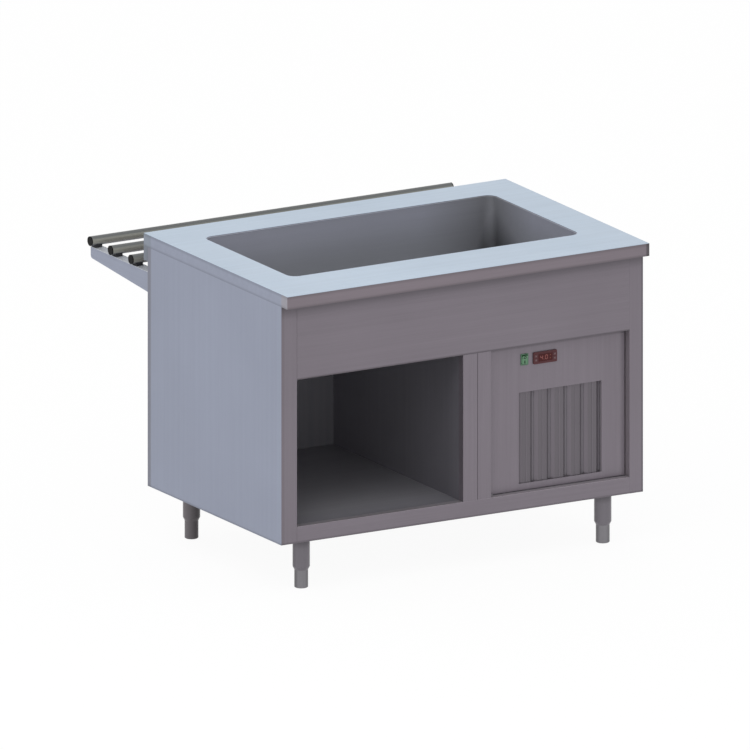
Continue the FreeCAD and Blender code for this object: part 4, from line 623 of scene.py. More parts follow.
@dataclass(frozen=True)
class Enamel(Finish):
    """Baked paint with a soft orange-peel skin.

    Attributes:
        peel: How close together the peel's dimples lie.
        coat: How thick its clear coat looks.
        worn: How much of the wear shows.
        worn_colour: The colour of its worn edges.
    """

    roughness: float = 0.3
    relief: float = 0.08
    edge_radius: float = 0.0008
    edge_gain: float = 2.0
    peel: float = 240.0
    coat: float = 0.3
    worn: float = 0.25
    worn_colour: Colour = (0.35, 0.35, 0.36, 1.0)

    def dress(self, graph: Graph, place: Socket, shader: bpy.types.Node) -> None:
        """Lay the colour, the peel and paler worn edges.

        Args:
            graph: The material's tree.
            place: The place on the piece.
            shader: The surface shader.
        """
        peel = graph.noise(place, self.peel, detail=1.0)
        toned = self.toned(graph, place, linear(self.colour))
        graph.feed(shader.inputs["Base Color"], self.edged(graph, toned, self.worn_colour, self.worn))
        shader.inputs["Coat Weight"].default_value = self.coat
        self.raised(graph, shader, peel)


@dataclass(frozen=True)
class CopperTube(Finish):
    """Bare copper with dull brown patches.

    Attributes:
        patina: The patches' tone.
        patch_size: How close together they lie.
        patch_range: The levels of the noise between which they fade in.
        patch_share: How far they cover the copper.
    """

    roughness: float = 0.32
    metallic: float = 1.0
    relief_depth: float = 0.0003
    patina: str = "6B4632"
    patch_size: float = 22.0
    patch_range: tuple[float, float] = (0.45, 0.75)
    patch_share: float = 0.6

    def dress(self, graph: Graph, place: Socket, shader: bpy.types.Node) -> None:
        """Mix the bright copper with its patina.

        Args:
            graph: The material's tree.
            place: The place on the piece.
            shader: The surface shader.
        """
        patches = graph.noise(place, self.patch_size, detail=5.0, roughness=0.65)
        share = graph.math("MULTIPLY", graph.spread(patches, *self.patch_range), self.patch_share)
        mixed = graph.blend(share, linear(self.colour), linear(self.patina))
        graph.feed(shader.inputs["Base Color"], self.toned(graph, place, mixed))
        self.raised(graph, shader, patches)


@dataclass(frozen=True)
class FinPack(Finish):
    """A block of close aluminium fins with copper bends at both ends.

    Attributes:
        centre: The block's middle along X.
        half_width: How far the fins reach from it.
        pitch: From fin to fin.
        gap: The painted shade between two fins.
        gap_range: The levels of the wave between which a gap fades in.
        copper: The tone of the bends.
    """

    roughness: float = 0.38
    metallic: float = 1.0
    relief: float = 0.3
    centre: float = 0.345
    half_width: float = 0.1195
    pitch: float = 0.0022
    gap: str = "2E2F31"
    gap_range: tuple[float, float] = (0.1, 0.8)
    copper: str = "9A6243"

    def dress(self, graph: Graph, place: Socket, shader: bpy.types.Node) -> None:
        """Draw the painted shade between the fins across the block and turn its ends to copper.

        Args:
            graph: The material's tree.
            place: The place on the piece.
            shader: The surface shader.
        """
        across = graph.add("SeparateXYZ", {"Vector": place}).outputs["X"]
        wave = graph.math("SINE", graph.math("MULTIPLY", across, 2 * math.pi / self.pitch))
        fins = graph.blend(graph.spread(wave, *self.gap_range), linear(self.colour), linear(self.gap))
        reach = graph.math("ABSOLUTE", graph.math("SUBTRACT", across, self.centre))
        out = graph.add("CombineXYZ", {"X": reach}).outputs[0]
        ends = graph.effect(FaceMask, {"Vector": out, "Way": RIGHT, "Level": self.half_width})
        coloured = graph.blend(ends.outputs["Mask"], fins, linear(self.copper))
        graph.feed(shader.inputs["Base Color"], self.toned(graph, place, coloured))
        self.raised(graph, shader, wave)


@dataclass(frozen=True)
class LitPlastic(Finish):
    """Clear-coated plastic that glows a little from behind.

    Attributes:
        glow: The colour of its light.
        strength: How strong the light is.
        cells: How close together its cells lie.
        contrast: How far the cells differ in tone.
        coat: How thick its clear coat looks.
    """

    roughness: float = 0.18
    glow: str = "000000"
    strength: float = 0.0
    cells: float = 1100.0
    contrast: float = 0.12
    coat: float = 0.4

    def dress(self, graph: Graph, place: Socket, shader: bpy.types.Node) -> None:
        """Lay the colour, its fine cells and the glow.

        Args:
            graph: The material's tree.
            place: The place on the piece.
            shader: The surface shader.
        """
        pores = graph.effect(Pores, {"Vector": place, "Size": self.cells}).outputs
        toned = self.toned(graph, place, linear(self.colour))
        level = graph.around_one(pores["Cell"], self.contrast)
        graph.feed(shader.inputs["Base Color"], graph.scaled(toned, level))
        graph.feed(shader.inputs["Emission Color"], graph.scaled(linear(self.glow)[:3], level))
        shader.inputs["Emission Strength"].default_value = self.strength
        shader.inputs["Coat Weight"].default_value = self.coat


# Painted light: the steel is one metal, and each face takes the tone that light gives it. The top, the
# sides, the lip, the lip's ends and the back end have lit tones; the back edge and corner tones are painted
# shade.
SIDE_LIT_TONE = "8C92A4"
BACK_EDGE_SHADE = "787A86"
BACK_END_LIT_TONE = "828A97"
LIP_END_LIT_TONE = "93919A"
CORNER_SHADE = "736C73"
FRONT_TONE = "79727A"
LIP_LIT_TONE = "7C737A"
TOP_LIT_TONE = "AFBFD0"
LINING_TONE = "84838A"

# Level directions to the left and the back, and to the right and the front, along which round parts take
# painted shade
FAR_LEFT: Point = (-0.866, 0.5, 0.0)
NEAR_RIGHT: Point = (0.866, -0.5, 0.0)

# Painted shade along the lowest few millimetres of the body's sheets.
BOTTOM_EDGE_SHADE = ToneAndLight(DOWN, -0.1600, "E0E0E0", softness=0.004, shade=True)

# Painted light: the sides, the lip, the lip's ends, the back end and the top take lit tones. Painted shade
# darkens the lip's right end, the top of the lip and the lower edges of the lips.
WORKTOP = BrushedSteel(
    "worktop",
    FRONT_TONE,
    tones_and_light=(
        ToneAndLight(LEFT, 0.5988, SIDE_LIT_TONE),
        ToneAndLight(RIGHT, 0.5988, SIDE_LIT_TONE),
        ToneAndLight(FRONT, 0.5385, LIP_END_LIT_TONE),
        ToneAndLight(FRONT, 0.5720, LIP_LIT_TONE),
        ToneAndLight(RIGHT, 0.5880, "B8BAB8", softness=0.004, shade=True),
        ToneAndLight(BACK, 0.2120, BACK_END_LIT_TONE),
        ToneAndLight(UP, 0.8890, "E8E8E8", softness=0.007, shade=True),
        ToneAndLight(DOWN, -0.8700, "DCDCDC", softness=0.007, shade=True),
        ToneAndLight(UP, 0.8990, TOP_LIT_TONE),
    ),
)
# Painted light: the side faces and the stile's front take lit tones, and the paler base lifts the walls of
# the door's recess. Painted shade by the left corner, along the right stile's outer edge, under the
# worktop's lip, along the back edge and along the bottom.
SIDE_PANEL = BrushedSteel(
    "side_panel",
    "8C858B",
    grain=Grain.ALONG_Z,
    streaks=0.03,
    tones_and_light=(
        ToneAndLight(FRONT, 0.5365, FRONT_TONE),
        ToneAndLight(LEFT, 0.5880, CORNER_SHADE, softness=0.003),
        ToneAndLight(RIGHT, 0.5930, "D2D2D2", softness=0.003, shade=True),
        ToneAndLight(UP, 0.8220, "C0C0C0", softness=0.04, shade=True),
        ToneAndLight(LEFT, 0.5992, SIDE_LIT_TONE),
        ToneAndLight(RIGHT, 0.5992, SIDE_LIT_TONE),
        ToneAndLight(BACK, 0.2080, BACK_EDGE_SHADE, softness=0.006),
        ToneAndLight(BACK, 0.2290, FRONT_TONE),
        BOTTOM_EDGE_SHADE,
    ),
)
# Painted light: the bracket takes the sides' lit tone, with a paler top.
BRACKET = BrushedSteel(
    "bracket", SIDE_LIT_TONE, metallic=0.3, grain=Grain.ALONG_Y, tones_and_light=(ToneAndLight(UP, 0.7825, "C4C8D0"),)
)
BACK_SHEET = BrushedSteel("back_sheet", FRONT_TONE)
# Painted shadow under the worktop's lip, and painted shade along the header's lower edge.
HEADER_SHEET = replace(
    BACK_SHEET,
    name="header_sheet",
    tones_and_light=(
        ToneAndLight(UP, 0.8220, "5A555B", softness=0.04),
        ToneAndLight(DOWN, -0.6440, "CCCCCC", softness=0.004, shade=True),
    ),
)
# Painted light on the sill's top face, and painted shade along its bottom edge.
SILL = replace(BACK_SHEET, name="sill", tones_and_light=(ToneAndLight(UP, 0.2008, "A8A2A8"), BOTTOM_EDGE_SHADE))
UPRIGHT_SHEET = BrushedSteel("upright_sheet", FRONT_TONE, grain=Grain.ALONG_Z)
# Painted light that lifts the door's right end, and painted shadow of the header along its top.
DOOR_SHEET = replace(
    UPRIGHT_SHEET,
    name="door_sheet",
    tones_and_light=(
        ToneAndLight(RIGHT, 0.5220, "8B848C", softness=0.03),
        ToneAndLight(UP, 0.6240, "DADADA", softness=0.006, shade=True),
    ),
)
LINING = BrushedSteel("lining", LINING_TONE, roughness=0.45, metallic=0.3, grain=Grain.ALONG_Z, glint=0.1)
# The divider and the floor are shaded and lit copies of the lining: the divider carries painted shade,
# lighter towards the back; the floor carries painted light, darker towards the front.
LINING_SIDE = replace(
    LINING, name="lining_side", colour="716F76", tones_and_light=(ToneAndLight(BACK, -0.4380, "8C8A92", softness=0.35),)
)
LINING_FLOOR = replace(
    LINING,
    name="lining_floor",
    colour="95949A",
    grain=Grain.ALONG_X,
    tones_and_light=(ToneAndLight(FRONT, 0.4200, LINING_TONE, softness=0.09),),
)
# Painted shade in the well: darker towards the bottom and towards the back right corner, with a darker band
# low on the right wall by that corner.
TANK = BrushedSteel(
    "tank",
    "A7A9B5",
    metallic=0.4,
    streaks=0.03,
    glint=0.1,
    tones_and_light=(
        ToneAndLight(DOWN, -0.8700, "97999F", softness=0.1),
        ToneAndLight((0.7071, 0.7071, 0.0), 0.2600, "8C8D92", softness=0.15),
        ToneAndLight((0.9, 0.2, -0.39), 0.1150, "ACACAC", softness=0.035, shade=True),
    ),
)
# Painted shade along the top and the bottom of each tube.
SLIDE_TUBE = BrushedSteel(
    "slide_tube",
    "95958D",
    roughness=0.45,
    metallic=0.4,
    streaks=0.03,
    tones_and_light=(ToneAndLight(UP, 0.8065, "646666", softness=0.006), ToneAndLight(DOWN, -0.7985, "6E6E72", softness=0.005)),
)
# Painted shade on the sides of the round feet and legs that face left and right. The legs carry a painted
# shadow at their tops under the body, and the back legs are a darker, shaded copy.
FOOT = BrushedSteel(
    "foot",
    "807E82",
    roughness=0.3,
    metallic=0.8,
    grain=Grain.ALONG_Z,
    streaks=0.03,
    tones_and_light=(
        ToneAndLight(FAR_LEFT, 0.45, "B8B8B8", softness=0.5, facing=True, shade=True),
        ToneAndLight(NEAR_RIGHT, 0.50, "D0D0D0", softness=0.5, facing=True, shade=True),
    ),
)
LEG = replace(
    FOOT,
    name="leg",
    colour="736F75",
    tones_and_light=(
        ToneAndLight(UP, 0.1180, "504D51", softness=0.03),
        ToneAndLight(FAR_LEFT, 0.55, "CCCCCC", softness=0.5, facing=True, shade=True),
    ),
)
BACK_LEG = replace(
    FOOT,
    name="back_leg",
    colour="6B676A",
    tones_and_light=(ToneAndLight(NEAR_RIGHT, -0.70, "B0B0B0", softness=1.3, facing=True, shade=True),),
)
# Painted light on the louvres' slopes that face left and right, and on the grille's right inner wall.
GRILLE = BrushedSteel(
    "grille",
    "656066",
    roughness=0.4,
    grain=Grain.ALONG_Z,
    streaks=0.02,
    tones_and_light=(
        ToneAndLight(LEFT, 0.3500, "6D676E", softness=0.1, facing=True),
        ToneAndLight(RIGHT, 0.3500, "6A656B", softness=0.1, facing=True),
        ToneAndLight(RIGHT, 0.4735, "A09AA1", softness=0.002),
    ),
)
SCREEN = BrushedSteel("screen", "68636A", roughness=0.6, metallic=0.0, streaks=0.02)
ZINC = ZincPlate("zinc", "989B9C")
NICKEL = ZincPlate("nickel", "B4B2AC", roughness=0.25, crystals=400.0)
COPPER = CopperTube("copper", "B5714C")
FINS = FinPack("fins", "A0A3A5")
FOAM = Moulding("foam", "DCCB94", roughness=0.9, grain_size=160.0, relief=0.5, worn=0.0)
RED_COAT = Enamel("red_coat", "9E1D1C")
BLACK_ENAMEL = Enamel("black_enamel", "131417")
RUBBER = Moulding("rubber", "101010", roughness=0.8, relief=0.3)
BLACK_PLASTIC = Moulding("black_plastic", "141415", roughness=0.5)
CAP_PLASTIC = Moulding("cap_plastic", "0C0C0D", roughness=0.5, worn=0.05, shine=0.1)
SADDLE_PLASTIC = Moulding("saddle_plastic", "2B2B2E", roughness=0.6, worn=0.05, shine=0.2)
CONTROLLER_CASE = Moulding(
    "controller_case", "171617", roughness=0.45, worn=0.1, shine=0.15, tones_and_light=(ToneAndLight(FRONT, 0.5129, "533235"),)
)
DISPLAY = LitPlastic("display", "3E181A", roughness=0.4, glow="5A1A18", strength=0.1, coat=0.05, shine=0.15)
KEY = Moulding("key", "5C4144", roughness=0.5, shine=0.2)
SWITCH_FRAME = Moulding("switch_frame", "50705A", roughness=0.45, shine=0.3)
SWITCH_GREEN = LitPlastic("switch_green", "50775A", roughness=0.35, glow="2E7A3C", strength=0.06, coat=0.15)
DIGIT = LitPlastic("digit", "7C4440", glow="A8453C", strength=0.14)
LAMP = LitPlastic("lamp", "7A4A34", glow="A8643C", strength=0.1)
MARK = Moulding("mark", "7E6668", roughness=0.5)
DARK_MARK = Moulding("dark_mark", "0E1A11", roughness=0.6, shine=0.2)

DRESS: dict[Finish, Sequence[str]] = {
    WORKTOP: ("worktop",),
    SIDE_PANEL: ("left_side_panel", "right_side_panel"),
    BRACKET: ("tray_bracket_left", "tray_bracket_right"),
    HEADER_SHEET: ("front_header",),
    BACK_SHEET: ("back_panel",),
    SILL: ("bottom_rail",),
    UPRIGHT_SHEET: ("centre_stile", "machine_stile"),
    DOOR_SHEET: ("service_door",),
    LINING: ("cupboard_back", "ceiling_panel"),
    LINING_SIDE: ("divider_panel",),
    LINING_FLOOR: ("cupboard_floor", "machine_floor"),
    TANK: ("well_tank",),
    SLIDE_TUBE: ("tray_tube_1", "tray_tube_2", "tray_tube_3"),
    LEG: ("leg_tube_front_left", "leg_tube_front_right"),
    FOOT: ("leg_foot_front_left", "leg_foot_front_right", "drain_strainer"),
    BACK_LEG: tuple(f"leg_{part}_back_{side}" for part in ("tube", "foot") for side in ("left", "right")),
    GRILLE: ("louvre_grille",),
    ZINC: ("drain_pipe", "base_channels", "door_hinge_pins", "unit_tray", "fan_shroud", "bracket_bolts"),
    NICKEL: ("drain_valve",),
    COPPER: ("evaporator_coil", "filter_drier", "refrigerant_lines"),
    FINS: ("condenser_core",),
    FOAM: ("tank_insulation",),
    RED_COAT: ("drain_valve_lever",),
    BLACK_ENAMEL: ("compressor", "fan_motor"),
    RUBBER: ("compressor_mounts",),
    BLACK_PLASTIC: ("door_catch", "compressor_cover", "fan_blades", "cable_gland"),
    CAP_PLASTIC: ("tube_end_caps",),
    SADDLE_PLASTIC: ("tube_saddles",),
    CONTROLLER_CASE: ("controller_housing",),
    DISPLAY: ("controller_window",),
    KEY: tuple(f"controller_key_{key}" for key in ("up", "down", "defrost", "set")),
    SWITCH_FRAME: ("switch_housing",),
    SWITCH_GREEN: ("switch_rocker",),
}


# Shaping of new pieces
class Bench:
    """Edit-mode work on one piece at a time."""

    @staticmethod
    def clear() -> None:
        """Leave nothing selected."""
        if bpy.context.object is not None and bpy.context.object.mode != "OBJECT":
            bpy.ops.object.mode_set(mode="OBJECT")
        bpy.ops.object.select_all(action="DESELECT")

    @classmethod
    def hold(cls, pieces: Sequence[Piece]) -> None:
        """Select some pieces alone, with the first as the active one.

        Args:
            pieces: The pieces.
        """
        cls.clear()
        for piece in pieces:
            piece.select_set(True)
        bpy.context.view_layer.objects.active = pieces[0]

    @staticmethod
    def turned(facing: Point | Vector) -> Euler:
        """Give the turn of what stands upright to another direction."""
        return Vector(UP).rotation_difference(Vector(facing)).to_euler()

    @staticmethod
    def started(name: str) -> Piece:
        """Name the primitive that was just added and settle its place in its mesh.

        Args:
            name: Its name.

        Returns:
            The new piece.
        """
        piece = bpy.context.object
        piece.name = name
        piece.data.name = name
        bpy.ops.object.transform_apply(location=True, rotation=True, scale=True)
        return piece

    @classmethod
    def plate(cls, name: str, centre: Point, size: tuple[float, float], facing: Point) -> Piece:
        """Start from a flat rectangle that faces up or to the front.

        Args:
            name: The piece's name.
            centre: Its middle.
            size: Its width along X and its other side.
            facing: The direction that it faces.

        Returns:
            The new piece.
        """
        cls.clear()
        turn = (math.pi / 2, 0.0, 0.0) if facing[1] else (0.0, 0.0, 0.0)
        bpy.ops.mesh.primitive_plane_add(size=1.0, location=centre, rotation=turn)
        bpy.context.object.scale = (*size, 1.0)
        return cls.started(name)

    @classmethod
    def rod(cls, name: str, start: Point, end: Point, radius: float, sides: int) -> Piece:
        """Start from a round bar between two points.

        Args:
            name: The piece's name.
            start: The middle of one end.
            end: The middle of the other.
            radius: Its radius.
            sides: How many sides it has.

        Returns:
            The new piece.
        """
        cls.clear()
        way = Vector(end) - Vector(start)
        middle = (Vector(start) + Vector(end)) / 2
        bpy.ops.mesh.primitive_cylinder_add(
            vertices=sides, radius=radius, depth=way.length, location=middle, rotation=cls.turned(way)
        )
        return cls.smooth(cls.started(name))

    @classmethod
    def ring(cls, name: str, centre: Point, radius: float, wire: float, facing: Point) -> Piece:
        """Start from a closed ring of round wire.

        Args:
            name: The piece's name.
            centre: Its middle.
            radius: The ring's radius, to the middle of the wire.
            wire: The wire's own radius.
            facing: The direction that it faces.

        Returns:
            The new piece.
        """
        cls.clear()
        bpy.ops.mesh.primitive_torus_add(
            major_radius=radius,
            minor_radius=wire,
            major_segments=48,
            minor_segments=8,
            location=centre,
            rotation=cls.turned(facing),
        )
        return cls.smooth(cls.started(name))

    @classmethod
    def disc(cls, name: str, centre: Point, radius: float, facing: Point, sides: int = 24) -> Piece:
        """Start from a flat round or many-sided face.

        Args:
            name: The piece's name.
            centre: Its middle.
            radius: Its radius, to the corners.
            facing: The direction that it faces.
            sides: How many sides it has.

        Returns:
            The new piece.
        """
        cls.clear()
        bpy.ops.mesh.primitive_circle_add(
            vertices=sides, radius=radius, fill_type="NGON", location=centre, rotation=cls.turned(facing)
        )
        return cls.started(name)

    @classmethod
    def edit(cls, piece: Piece, kind: str, wanted: Callable[[Part], bool] | None = None) -> None:
        """Open a piece and select its parts, or those of them that pass a test.

        Args:
            piece: The piece.
            kind: VERT, EDGE or FACE.
            wanted: The test.
        """
        cls.hold([piece])
        bpy.ops.object.mode_set(mode="EDIT")
        bpy.ops.mesh.select_mode(type=kind)
        bpy.ops.mesh.select_all(action="DESELECT")
        mesh = bmesh.from_edit_mesh(piece.data)
        for part in {"VERT": mesh.verts, "EDGE": mesh.edges, "FACE": mesh.faces}[kind]:
            part.select_set(wanted is None or bool(wanted(part)))
        mesh.select_flush_mode()
        bmesh.update_edit_mesh(piece.data)

    @classmethod
    def done(cls, piece: Piece) -> Piece:
        """Close the piece with all its faces pointing outwards.

        Args:
            piece: The piece, open or not.

        Returns:
            The same piece.
        """
        if piece.mode != "EDIT":
            cls.edit(piece, "FACE")
        bpy.ops.mesh.select_all(action="SELECT")
        bpy.ops.mesh.remove_doubles(threshold=1e-6)
        bpy.ops.mesh.normals_make_consistent(inside=False)
        bpy.ops.object.mode_set(mode="OBJECT")
        return piece

    @staticmethod
    def pull(way: Point | Vector) -> None:
        """Extrude the selected faces of the open piece along a way."""
        bpy.ops.mesh.extrude_region_move(TRANSFORM_OT_translate={"value": way})

    @classmethod
    def raise_face(cls, piece: Piece, way: Point) -> Piece:
        """Thicken a flat piece into a closed solid.

        Args:
            piece: The flat piece.
            way: The direction and the thickness.

        Returns:
            The same piece.
        """
        cls.edit(piece, "FACE")
        cls.pull(way)
        return cls.done(piece)

    @classmethod
    def framed(cls, piece: Piece, border: float) -> Piece:
        """Leave only the border of a flat piece.

        Args:
            piece: The flat piece.
            border: The border's width.

        Returns:
            The same piece.
        """
        cls.edit(piece, "FACE")
        bpy.ops.mesh.inset(thickness=border)
        bpy.ops.mesh.delete(type="FACE")
        bpy.ops.object.mode_set(mode="OBJECT")
        return piece

    @classmethod
    def swung(cls, piece: Piece, angle: float, centre: Point) -> Piece:
        """Turn a flat piece that faces the front.

        Args:
            piece: The flat piece.
            angle: How far, in radians.
            centre: The point that stays.

        Returns:
            The same piece.
        """
        cls.edit(piece, "VERT")
        bpy.ops.transform.rotate(value=angle, orient_axis="Y", center_override=centre)
        bpy.ops.object.mode_set(mode="OBJECT")
        return piece

    @classmethod
    def modify(cls, piece: Piece, kind: str, **settings: object) -> Piece:
        """Add one modifier and apply it.

        Args:
            piece: The piece.
            kind: The modifier's type.
            **settings: Its settings.

        Returns:
            The same piece.
        """
        cls.hold([piece])
        modifier = piece.modifiers.new(kind.lower(), kind)
        for name, value in settings.items():
            setattr(modifier, name, value)
        bpy.ops.object.modifier_apply(modifier=modifier.name)
        return piece

    @classmethod
    def bevelled(cls, piece: Piece, width: float, segments: int = 2) -> Piece:
        """Round the sharp edges of a piece."""
        return cls.modify(piece, "BEVEL", width=width, segments=segments, limit_method="ANGLE")

    @classmethod
    def copies(cls, piece: Piece, moves: Sequence[Point]) -> list[Piece]:
        """Copy a piece, each copy with its own mesh.

        Args:
            piece: The first of the row.
            moves: How far each copy stands from the first.

        Returns:
            The first piece and its copies.
        """
        made = [piece]
        for move in moves:
            twin = piece.copy()
            twin.data = piece.data.copy()
            bpy.context.collection.objects.link(twin)
            twin.location = move
            made.append(twin)
        cls.hold(made)
        bpy.ops.object.transform_apply(location=True, rotation=True, scale=True)
        return made

    @classmethod
    def joined(cls, name: str, pieces: Sequence[Piece]) -> Piece:
        """Join several shapes into one piece.

        Args:
            name: The piece's name.
            pieces: The shapes.

        Returns:
            The joined piece.
        """
        cls.hold(pieces)
        bpy.ops.object.join()
        pieces[0].name = name
        pieces[0].data.name = name
        return pieces[0]

    @classmethod
    def at_corners(cls, piece: Piece, across: float, other: Point) -> Piece:
        """Set a piece at the four corners of a rectangle and join the four.

        Args:
            piece: The piece at the first corner.
            across: The rectangle's length along X.
            other: The way along its other side.

        Returns:
            The joined piece, under the same name.
        """
        moves = [(across, 0.0, 0.0), other, (across, other[1], other[2])]
        return cls.joined(piece.name, cls.copies(piece, moves))

    @classmethod
    def smooth(cls, piece: Piece, angle: float = 35.0) -> Piece:
        """Shade the gentle turns of a piece smoothly.

        Args:
            piece: The piece.
            angle: The sharpest turn that is still smooth, in degrees.

        Returns:
            The same piece.
        """
        cls.hold([piece])
        bpy.ops.object.shade_smooth_by_angle(angle=math.radians(angle))
        return piece


class Assembly:
    """A group of new pieces that belong together."""

    def fit(self, piece: Piece, finish: Finish, slot: str, body: str = "counter") -> Piece:
        """Finish a piece, hang it on its body and report it.

        Args:
            piece: The finished shape.
            finish: Its finish.
            slot: The material slot that it belongs to; not used.
            body: The body that it moves with.

        Returns:
            The same piece.
        """
        piece.data.materials.clear()
        piece.data.materials.append(finish.material())
        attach(piece, body)
        log.info("piece %s: %d faces, %s, on %s", piece.name, len(piece.data.polygons), finish.name, body)
        return piece

    def build(self) -> None:
        """Make and fit every piece of the group."""
        raise NotImplementedError


@dataclass
class WellTrim(Assembly):
    """The weld bead under the worktop's cut edge and the screw of the strainer."""

    bead_radius: float = 0.0011
    bead_below_top: float = 0.0032
    corner_radius: float = 0.029
    corner_steps: int = 8
    flange: float = 0.015
    screw_radius: float = 0.0042
    screw_height: float = 0.002
    screw_sunk: float = 0.0002
    screw_edge: float = 0.0004
    socket_inset: float = 0.45
    socket_depth: float = 0.6

    def build(self) -> None:
        """Make the bead and the screw."""
        self.fit(self.bead(), TANK, "stainless_well")
        self.fit(self.screw(), FOOT, "stainless_leg")

    def bead(self) -> Piece:
        """Run a round bead along the well's mouth.

        Returns:
            The bead.
        """
        low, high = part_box("well_tank")
        inset = self.flange + self.bead_radius * WIRE_SEAT
        middle = (low + high) / 2
        size = (high.x - low.x - 2 * inset, high.y - low.y - 2 * inset)
        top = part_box("worktop")[1].z - self.bead_below_top
        loop = Bench.plate("well_bead", (middle.x, middle.y, top), size, UP)
        Bench.edit(loop, "VERT")
        bpy.ops.mesh.bevel(offset=self.corner_radius, segments=self.corner_steps, affect="VERTICES")
        bpy.ops.mesh.select_mode(type="FACE")
        bpy.ops.mesh.select_all(action="SELECT")
        bpy.ops.mesh.delete(type="ONLY_FACE")
        bpy.ops.object.mode_set(mode="OBJECT")
        bpy.ops.object.convert(target="CURVE")
        loop.data.bevel_depth = self.bead_radius
        loop.data.bevel_resolution = 2
        bpy.ops.object.convert(target="MESH")
        return Bench.smooth(Bench.done(bpy.context.object))

    def screw(self) -> Piece:
        """Turn a round screw head with a sunk socket.

        Returns:
            The screw head.
        """
        low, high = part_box("drain_strainer")
        centre = ((low.x + high.x) / 2, (low.y + high.y) / 2, high.z - self.screw_sunk)
        head = Bench.disc("strainer_screw", centre, self.screw_radius, UP)
        Bench.edit(head, "FACE")
        Bench.pull((0.0, 0.0, self.screw_height))
        bpy.ops.mesh.inset(thickness=self.screw_radius * self.socket_inset)
        Bench.pull((0.0, 0.0, -self.screw_height * self.socket_depth))
        return Bench.smooth(Bench.bevelled(Bench.done(head), self.screw_edge))


class Segment(Enum):
    """The seven bars of a lit digit.

    Each has its middle, in halves of the digit's width and height, and whether it lies.
    """

    TOP = (0.0, 1.0, True)
    MIDDLE = (0.0, 0.0, True)
    BOTTOM = (0.0, -1.0, True)
    HIGH_LEFT = (-1.0, 0.5, False)
    HIGH_RIGHT = (1.0, 0.5, False)
    LOW_LEFT = (-1.0, -0.5, False)
    LOW_RIGHT = (1.0, -0.5, False)


class Digit(Enum):
    """The digits that the display shows, as their lit bars."""

    FOUR = (Segment.HIGH_LEFT, Segment.HIGH_RIGHT, Segment.MIDDLE, Segment.LOW_RIGHT)
    ZERO = (
        Segment.TOP,
        Segment.BOTTOM,
        Segment.HIGH_LEFT,
        Segment.HIGH_RIGHT,
        Segment.LOW_LEFT,
        Segment.LOW_RIGHT,
    )


